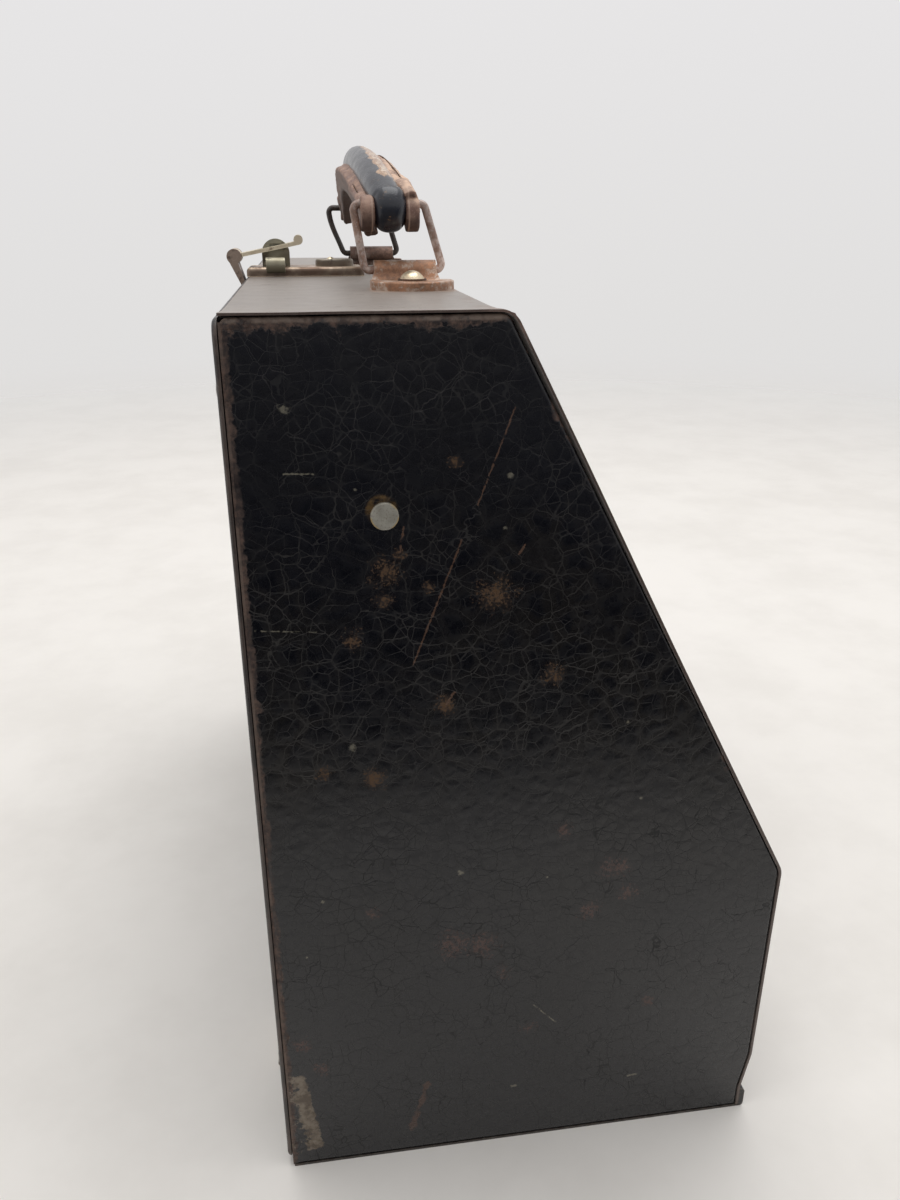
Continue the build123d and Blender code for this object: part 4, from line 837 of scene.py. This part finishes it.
def reshaped(name, label, cuts, move, material, body):
    """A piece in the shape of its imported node, cut finer along its border and then moved a little."""
    made = copy_of(name, label)
    work = bmesh.new()
    work.from_mesh(made.data)
    for along, places in cuts:
        for place in places:
            whole = work.verts[:] + work.edges[:] + work.faces[:]
            bmesh.ops.bisect_plane(work, geom=whole, dist=0.000001, plane_co=along * place * MM,
                                   plane_no=along)
    bmesh.ops.triangulate(work, faces=work.faces[:])
    for v in work.verts:
        v.co += move(v.co / MM) * MM
    work.to_mesh(made.data)
    work.free()
    soft_edges(made, 32)
    dress(made, material)
    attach(made, body)
    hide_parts(name)


ALONG_X = Vector((1, 0, 0))
ALONG_Y = Vector((0, 1, 0))
ALONG_Z = Vector((0, 0, 1))
BORDER_LIFT = 1.1           # the near end of the top sheet, sprung up off the panel
BORDER_THIN = 0.25          # and hammered thinner there
MOUTH_CLOSE = 0.45          # the cover's worn mouth, sprung towards the base plate
SEAM_LIFT = 0.9             # the panel's rim under the top sheet


def border_move(at):
    """The top sheet springs up towards its near end, on top and a little way down the slope."""
    reach = ease(-at.y, 148.0, 181.5) * 0.5 + ease(-at.y, 166.0, 181.2) * 0.5
    mouth = ALONG_X * -MOUTH_CLOSE * ease(-at.x, 79.0, 82.2)
    if reach == 0 or at.z < 190:
        return mouth
    out = Vector(SLOPE_OUT)
    turn = ease(at.x, -13.0, -6.0)
    away = (ALONG_Z * (1 - turn) + out * turn).normalized()
    on_slope = (at - Vector((SLOPE_TOP[0], 0, SLOPE_TOP[1]))).dot(out)
    inner = at.z < TOP_Z - 0.45 if at.x < SLOPE_TOP[0] else on_slope < -0.45
    amount = BORDER_LIFT * (1 - 0.35 * turn) * ease(at.z, 190.0, 288.0)
    ripple = 1 + 0.16 * noise.noise(Vector((at.x / 17.0, 0, at.z / 17.0)))
    thinned = (BORDER_THIN if inner else 0.0) * ease(at.z, 190.0, 250.0)
    return mouth + away * reach * (amount * ripple + thinned)


def rim_move(at):
    """The near panel's rim stands a little higher than straight, with small dents."""
    near = ease(-at.y, 175.0, 180.0)
    dent = 0.12 * noise.noise(Vector((at.x / 13.0, 3.0, 0)))
    rise = ALONG_Z * near * (SEAM_LIFT + dent) * ease(at.z, 296.6, 299.0)
    out = ease(-at.x, 79.4, 81.6) * ease(-at.y, 175.0, 178.5) * (HALF + at.y)
    mouth = ALONG_X * -MOUTH_CLOSE * ease(-at.x, 79.0, 82.2)
    return rise + mouth - ALONG_Y * max(0.0, min(1.3, out - 0.15))


SHEET_CUTS = [(ALONG_Y, (-150, -156, -162, -166, -170, -173, -175.5, -177.5, -179.5)),
              (ALONG_X, tuple(range(-78, 0, 7))), (ALONG_Z, tuple(range(190, 296, 12)))]
reshaped("cover_wrap", "bent_top_sheet", SHEET_CUTS, border_move, ENAMEL_WRAP, "cover")
reshaped("side_panel_near", "near_panel", [(ALONG_X, tuple(range(-78, -8, 7)))], rim_move, ENAMEL_NEAR,
         "cover")


def on_grip(angle, across, rise):
    """A point of the grip: angle along its arch, across it, and out from its middle line, in millimetres."""
    out = ARCH_RADIUS + rise
    place = Vector((across, out * sin(angle), ARCH_CENTRE_Z + out * cos(angle) - BAR_Z))
    lean = Matrix.Rotation(-GRIP_TILT, 3, "Y")
    droop = Matrix.Rotation(GRIP_SLOPE, 3, "X")
    return droop @ (lean @ place) + Vector((GRIP_X, 0, BAR_Z))


def rounded(angle, half, rise, power):
    """A point of an oval that is a little squarer than an ellipse."""
    a, b = cos(angle), sin(angle)
    return (half * abs(a) ** (2 / power) * (1 if a >= 0 else -1),
            rise * abs(b) ** (2 / power) * (1 if b >= 0 else -1))


def closed_rings(work, rings):
    """A skin over rings of points, closed at both ends."""
    loops = [[work.verts.new(point * MM) for point in ring] for ring in rings]
    for low, high in zip(loops, loops[1:]):
        for k in range(len(low)):
            n = (k + 1) % len(low)
            work.faces.new((low[k], low[n], high[n], high[k]))
    for loop in (loops[0], loops[-1]):
        middle = work.verts.new(sum((v.co for v in loop), Vector()) / len(loop))
        for k in range(len(loop)):
            work.faces.new((loop[k], loop[(k + 1) % len(loop)], middle))


def roll_skin(work):
    """The roll from bar to bar, thick in the middle, with a blunt round nose over each bar."""
    around, rings = 40, []
    for i in range(61):
        share = i / 30 - 1
        taper = abs(share) ** 2.4
        half = ROLL_HALF + (ROLL_END_HALF - ROLL_HALF) * taper
        rise = ROLL_RISE + (ROLL_END_RISE - ROLL_RISE) * taper
        power = 2 + 0.5 * taper
        oval = [rounded(2 * pi * k / around, half, rise, power) for k in range(around)]
        rings.append([on_grip(share * ARCH_HALF, u, r) for u, r in oval])
    closed_rings(work, rings)
    for end in (-1, 1):
        rings = []
        centre = on_grip(end * ARCH_HALF, 0, 0)
        for i in range(1, 24):
            u, r = rounded(pi * i / 24, ROLL_END_HALF, ROLL_END_RISE, 2.5)
            rings.append([centre + Vector((u, r * cos(2 * pi * k / 36), r * sin(2 * pi * k / 36)))
                          for k in range(36)])
        closed_rings(work, rings)


def skin_object(label, build):
    """A mesh object made by one of the skin functions."""
    made = placed(label, bpy.data.meshes.new(label))
    work = bmesh.new()
    build(work)
    bmesh.ops.recalc_face_normals(work, faces=work.faces[:])
    work.to_mesh(made.data)
    work.free()
    return made


def bar_room(made):
    """Clear the round channels that both bars turn in."""
    tools = []
    for y in (-EYE_Y, EYE_Y):
        def rod(work):
            rings = [[Vector((GRIP_X + u, y + BAR_ROOM * cos(pi * k / 12),
                              BAR_Z + BAR_ROOM * sin(pi * k / 12))) for k in range(24)] for u in (-14, 14)]
            closed_rings(work, rings)
        tool = skin_object("bar_channel", rod)
        cut = made.modifiers.new("channel", "BOOLEAN")
        cut.operation = "DIFFERENCE"
        cut.solver = "EXACT"
        cut.object = tool
        tools.append(tool)
    apply_modifiers(made)
    for tool in tools:
        bpy.data.objects.remove(tool)


def soften(made, voxel, smooth, swell, material, wrinkle, length):
    """Leather: one closed skin, softened, a little uneven and creased."""
    remesh = made.modifiers.new("remesh", "REMESH")
    remesh.mode = "VOXEL"
    remesh.voxel_size = voxel * MM
    relax = made.modifiers.new("relax", "SMOOTH")
    relax.factor = 0.5
    relax.iterations = smooth
    apply_modifiers(made)
    body = bmesh.new()
    body.from_mesh(made.data)
    body.normal_update()
    moves = []
    for v in body.verts:
        at = Vector((v.co.x, v.co.y * 0.6, v.co.z)) / (length * MM)
        crease = (noise.noise(at) + 0.5 * noise.noise(at * 2.7)) * wrinkle
        moves.append(v.normal * (crease + swell) * MM)
    for v, move in zip(body.verts, moves):
        v.co += move
    body.to_mesh(made.data)
    body.free()
    bar_room(made)
    soft_edges(made, 50)
    dress(made, material)


def bow_move(at):
    """The far bail's left arm is sprung outwards."""
    if at.x > GRIP_X:
        return Vector()
    rise = ease(at.z, 305.0, 325.0) * (1.0 if at.z < 324.8 else ease(-at.x, 37.0, 40.5))
    return ALONG_X * -(3.3 * rise + 0.7 * sin(pi * min(1.0, max(0.0, (at.z - 305.0) / 22.0))))


reshaped("bail_far", "bowed_bail", [(ALONG_Z, tuple(range(308, 326, 2)))], bow_move, BAIL_IN_PAINTED_SHADE,
         "bail_far")


def tongue(work, side, start, finish, low, high):
    """The end of the leather, turned back over the outside of an edge."""
    rings = []
    for i in range(9):
        angle = (start + (finish - start) * i / 8) * ARCH_HALF
        corners = ((WELT_OUT - 0.6, low), (WELT_OUT + 0.75, low), (WELT_OUT + 0.75, high),
                   (WELT_OUT - 0.6, high))
        rings.append([on_grip(angle, side * u, r) for u, r in corners])
    closed_rings(work, rings)


def shoulder(work, side, end):
    """Leather that swells from an edge up to its loop round the bar."""
    rings = []
    for i in range(12):
        share = 0.6 + 0.43 * i / 11
        grown = ease(share, 0.62, 1.0)
        low, high = -3.5, 0.9 + 3.3 * grown
        corners = ((5.6, low), (WELT_OUT, low), (WELT_OUT, high - 0.8), (WELT_OUT - 0.9, high), (6.2, high),
                   (5.6, high - 0.6))
        rings.append([on_grip(end * share * ARCH_HALF, side * u, r) for u, r in corners])
    closed_rings(work, rings)


def bed(work, side):
    """Leather under the flank of the roll, between it and a stitched edge."""
    rings = []
    corners = ((2.6, -4.0), (9.3, -4.0), (9.3, 0.4), (6.2, 2.7), (2.6, 2.7))
    for i in range(41):
        share = 0.93 * (i / 20 - 1)
        rings.append([on_grip(share * ARCH_HALF, side * u, r) for u, r in corners])
    closed_rings(work, rings)


def stitch_tree():
    """Stitches set along a line: dark thread sunk between its holes."""
    tree = bpy.data.node_groups.new("stitches along a seam", "GeometryNodeTree")
    for label, kind in (("Seam", "Geometry"), ("Pitch", "Float"), ("Stitch length", "Float"),
                        ("Thread", "Float"), ("Material", "Material")):
        tree.interface.new_socket(label, in_out="INPUT", socket_type="NodeSocket" + kind)
    tree.interface.new_socket("Stitches", in_out="OUTPUT", socket_type="NodeSocketGeometry")
    new = tree.nodes.new
    start, end = new("NodeGroupInput"), new("NodeGroupOutput")
    curve, spread = new("GeometryNodeMeshToCurve"), new("GeometryNodeResampleCurve")
    spread.mode = "LENGTH"
    ball, size = new("GeometryNodeMeshUVSphere"), new("ShaderNodeCombineXYZ")
    stretch = new("GeometryNodeTransform")
    ball.inputs["Segments"].default_value = 8
    ball.inputs["Rings"].default_value = 6
    ball.inputs["Radius"].default_value = 0.5
    along, turn = new("GeometryNodeInputTangent"), new("FunctionNodeAlignRotationToVector")
    turn.axis = "X"
    put = new("GeometryNodeInstanceOnPoints")
    real, coat = new("GeometryNodeRealizeInstances"), new("GeometryNodeSetMaterial")
    routes = ((start, "Seam", curve, "Mesh"), (curve, "Curve", spread, "Curve"),
              (start, "Pitch", spread, "Length"), (start, "Stitch length", size, "X"),
              (start, "Thread", size, "Y"), (start, "Thread", size, "Z"),
              (ball, "Mesh", stretch, "Geometry"), (size, 0, stretch, "Scale"), (along, 0, turn, "Vector"),
              (spread, "Curve", put, "Points"), (stretch, "Geometry", put, "Instance"),
              (turn, "Rotation", put, "Rotation"), (put, "Instances", real, "Geometry"),
              (real, "Geometry", coat, "Geometry"), (start, "Material", coat, "Material"),
              (coat, "Geometry", end, "Stitches"))
    for giver, out, taker, into in routes:
        tree.links.new(giver.outputs[out], taker.inputs[into])
    return tree


def stitches(label, points, pitch, length, thick):
    """One row of stitches through the points, as a plain mesh."""
    mesh = bpy.data.meshes.new(label)
    mesh.from_pydata([p * MM for p in points], [(k, k + 1) for k in range(len(points) - 1)], [])
    made = placed(label, mesh)
    row = made.modifiers.new("stitches", "NODES")
    row.node_group = STITCH_TREE
    values = {"Pitch": pitch * MM, "Stitch length": length * MM, "Thread": thick * MM, "Material": THREAD}
    for item in STITCH_TREE.interface.items_tree:
        if item.in_out == "INPUT" and item.name in values:
            row[item.identifier] = values[item.name]
    apply_modifiers(made)
    return made


STITCH_TREE = stitch_tree()
roll = skin_object("leather_roll", roll_skin)
soften(roll, 0.5, 12, 0.2, GRIP_LEATHER, 0.12, 9.0)
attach(roll, "handle")
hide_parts("grip_roll")
for side, name in ((-1, "left"), (1, "right")):
    welt = copy_of(f"grip_welt_{name}", f"leather_welt_{name}")
    work = bmesh.new()
    work.from_mesh(welt.data)
    for v in work.verts:
        v.co.x -= max(0.0, v.co.z - BAR_Z * MM) * (tan(GRIP_TILT) - tan(CORE_TILT))
    bed(work, side)
    tongue(work, side, -0.97 * side, -0.8 * side, -2.6, 1.4)
    shoulder(work, side, -1)
    shoulder(work, side, 1)
    bmesh.ops.recalc_face_normals(work, faces=work.faces[:])
    work.to_mesh(welt.data)
    work.free()
    soften(welt, 0.4, 12, 0.2, WELT_LEATHER, 0.2, 6.0)
    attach(welt, "handle")
    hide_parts(f"grip_welt_{name}")
    seam = [on_grip((k / 40 - 1) * 0.86 * ARCH_HALF, side * 8.0,
                    1.75 + 1.2 * ease(abs(k / 40 - 1), 0.62, 1.0)) for k in range(81)]
    row = stitches(f"stitches_{name}", seam, 2.5, 1.5, 0.62)
    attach(row, "handle")


def studio():
    """Pale floor, soft overhead light, and a room that is open and dim in front of the case."""
    floor_mesh = bpy.data.meshes.new("studio_floor")
    body = bmesh.new()
    bmesh.ops.create_circle(body, cap_ends=True, segments=96, radius=FLOOR_REACH)
    body.to_mesh(floor_mesh)
    body.free()
    floor = placed("studio_floor", floor_mesh)
    made, w, place = finish_of("pale studio floor")
    y = w.parts(place)[1]
    away = w.vector("LENGTH", place, out=1)
    mottle = w.noise(place, 9.0, 5.0, 0.65)
    w.ground = w.blend(w.ramp(mottle, 0.35, 0.7), (0.87, 0.835, 0.785), (0.81, 0.775, 0.725))
    w.coat(Roughness=0.6, Specular_IOR_Level=0.2)
    clear = w.node("BsdfTransparent")
    mixed = w.node("MixShader")
    fade = w.most(w.ramp(away, 0.75, 2.1), w.fade(y, -0.46, -0.37))
    for k, value in enumerate((fade, w.shader.outputs[0], clear.outputs[0])):
        w.put(mixed, k, value)
    w.put(made.node_tree.nodes["Material Output"], "Surface", mixed.outputs[0])
    floor.data.materials.append(made)

    world = bpy.data.worlds.new("studio")
    scene.world = world
    world.use_nodes = True
    w = Web(world.node_tree)
    light = world.node_tree.nodes["Background"]
    _, dy, dz = w.parts(w.node("TexCoord").outputs["Generated"])
    front = w.fade(dy, -0.75, 0.1)
    tone = w.blend(front, (0.86, 0.86, 0.87), (0.46, 0.46, 0.47))
    sky = w.blend(w.ramp(dz, -0.3, 0.45), (0.74, 0.73, 0.72), (0.82, 0.81, 0.82))
    dim_side = w.fade(dy, -0.62, -0.3)
    dim_high = w.fade(dz, -0.06, 0.42)
    dim = dim_side * dim_high
    far_room = w.blend(w.ramp(dz, -0.42, -0.1), (0.012, 0.014, 0.024), (0.115, 0.12, 0.15))
    path = w.named(w.node("LightPath"))
    unseen = dim * (1.0 - path["Is Camera Ray"])
    picture = w.blend(unseen, sky, far_room)
    seen = w.most(path["Is Camera Ray"], w.most(path["Is Glossy Ray"], path["Is Transmission Ray"]))
    w.put(light, "Color", w.blend(seen, tone, picture))
    light.inputs["Strength"].default_value = 1.0

    lamp = bpy.data.lights.new("overhead", "AREA")
    lamp.shape = "SQUARE"
    lamp.size = 1.2
    lamp.energy = 11.0
    placed("overhead", lamp).location = LAMP_AT


def camera():
    """The photograph's view: a wide lens close to the near panel, looking down a little."""
    lens = bpy.data.cameras.new("view")
    lens.lens = LENS
    lens.sensor_width = 36
    eye = placed("view", lens)
    eye.location = VIEW_FROM
    eye.rotation_euler = (radians(90 - VIEW_DOWN), 0, radians(VIEW_TURN))
    scene.camera = eye


camera()
studio()
scene.view_settings.view_transform = "Standard"
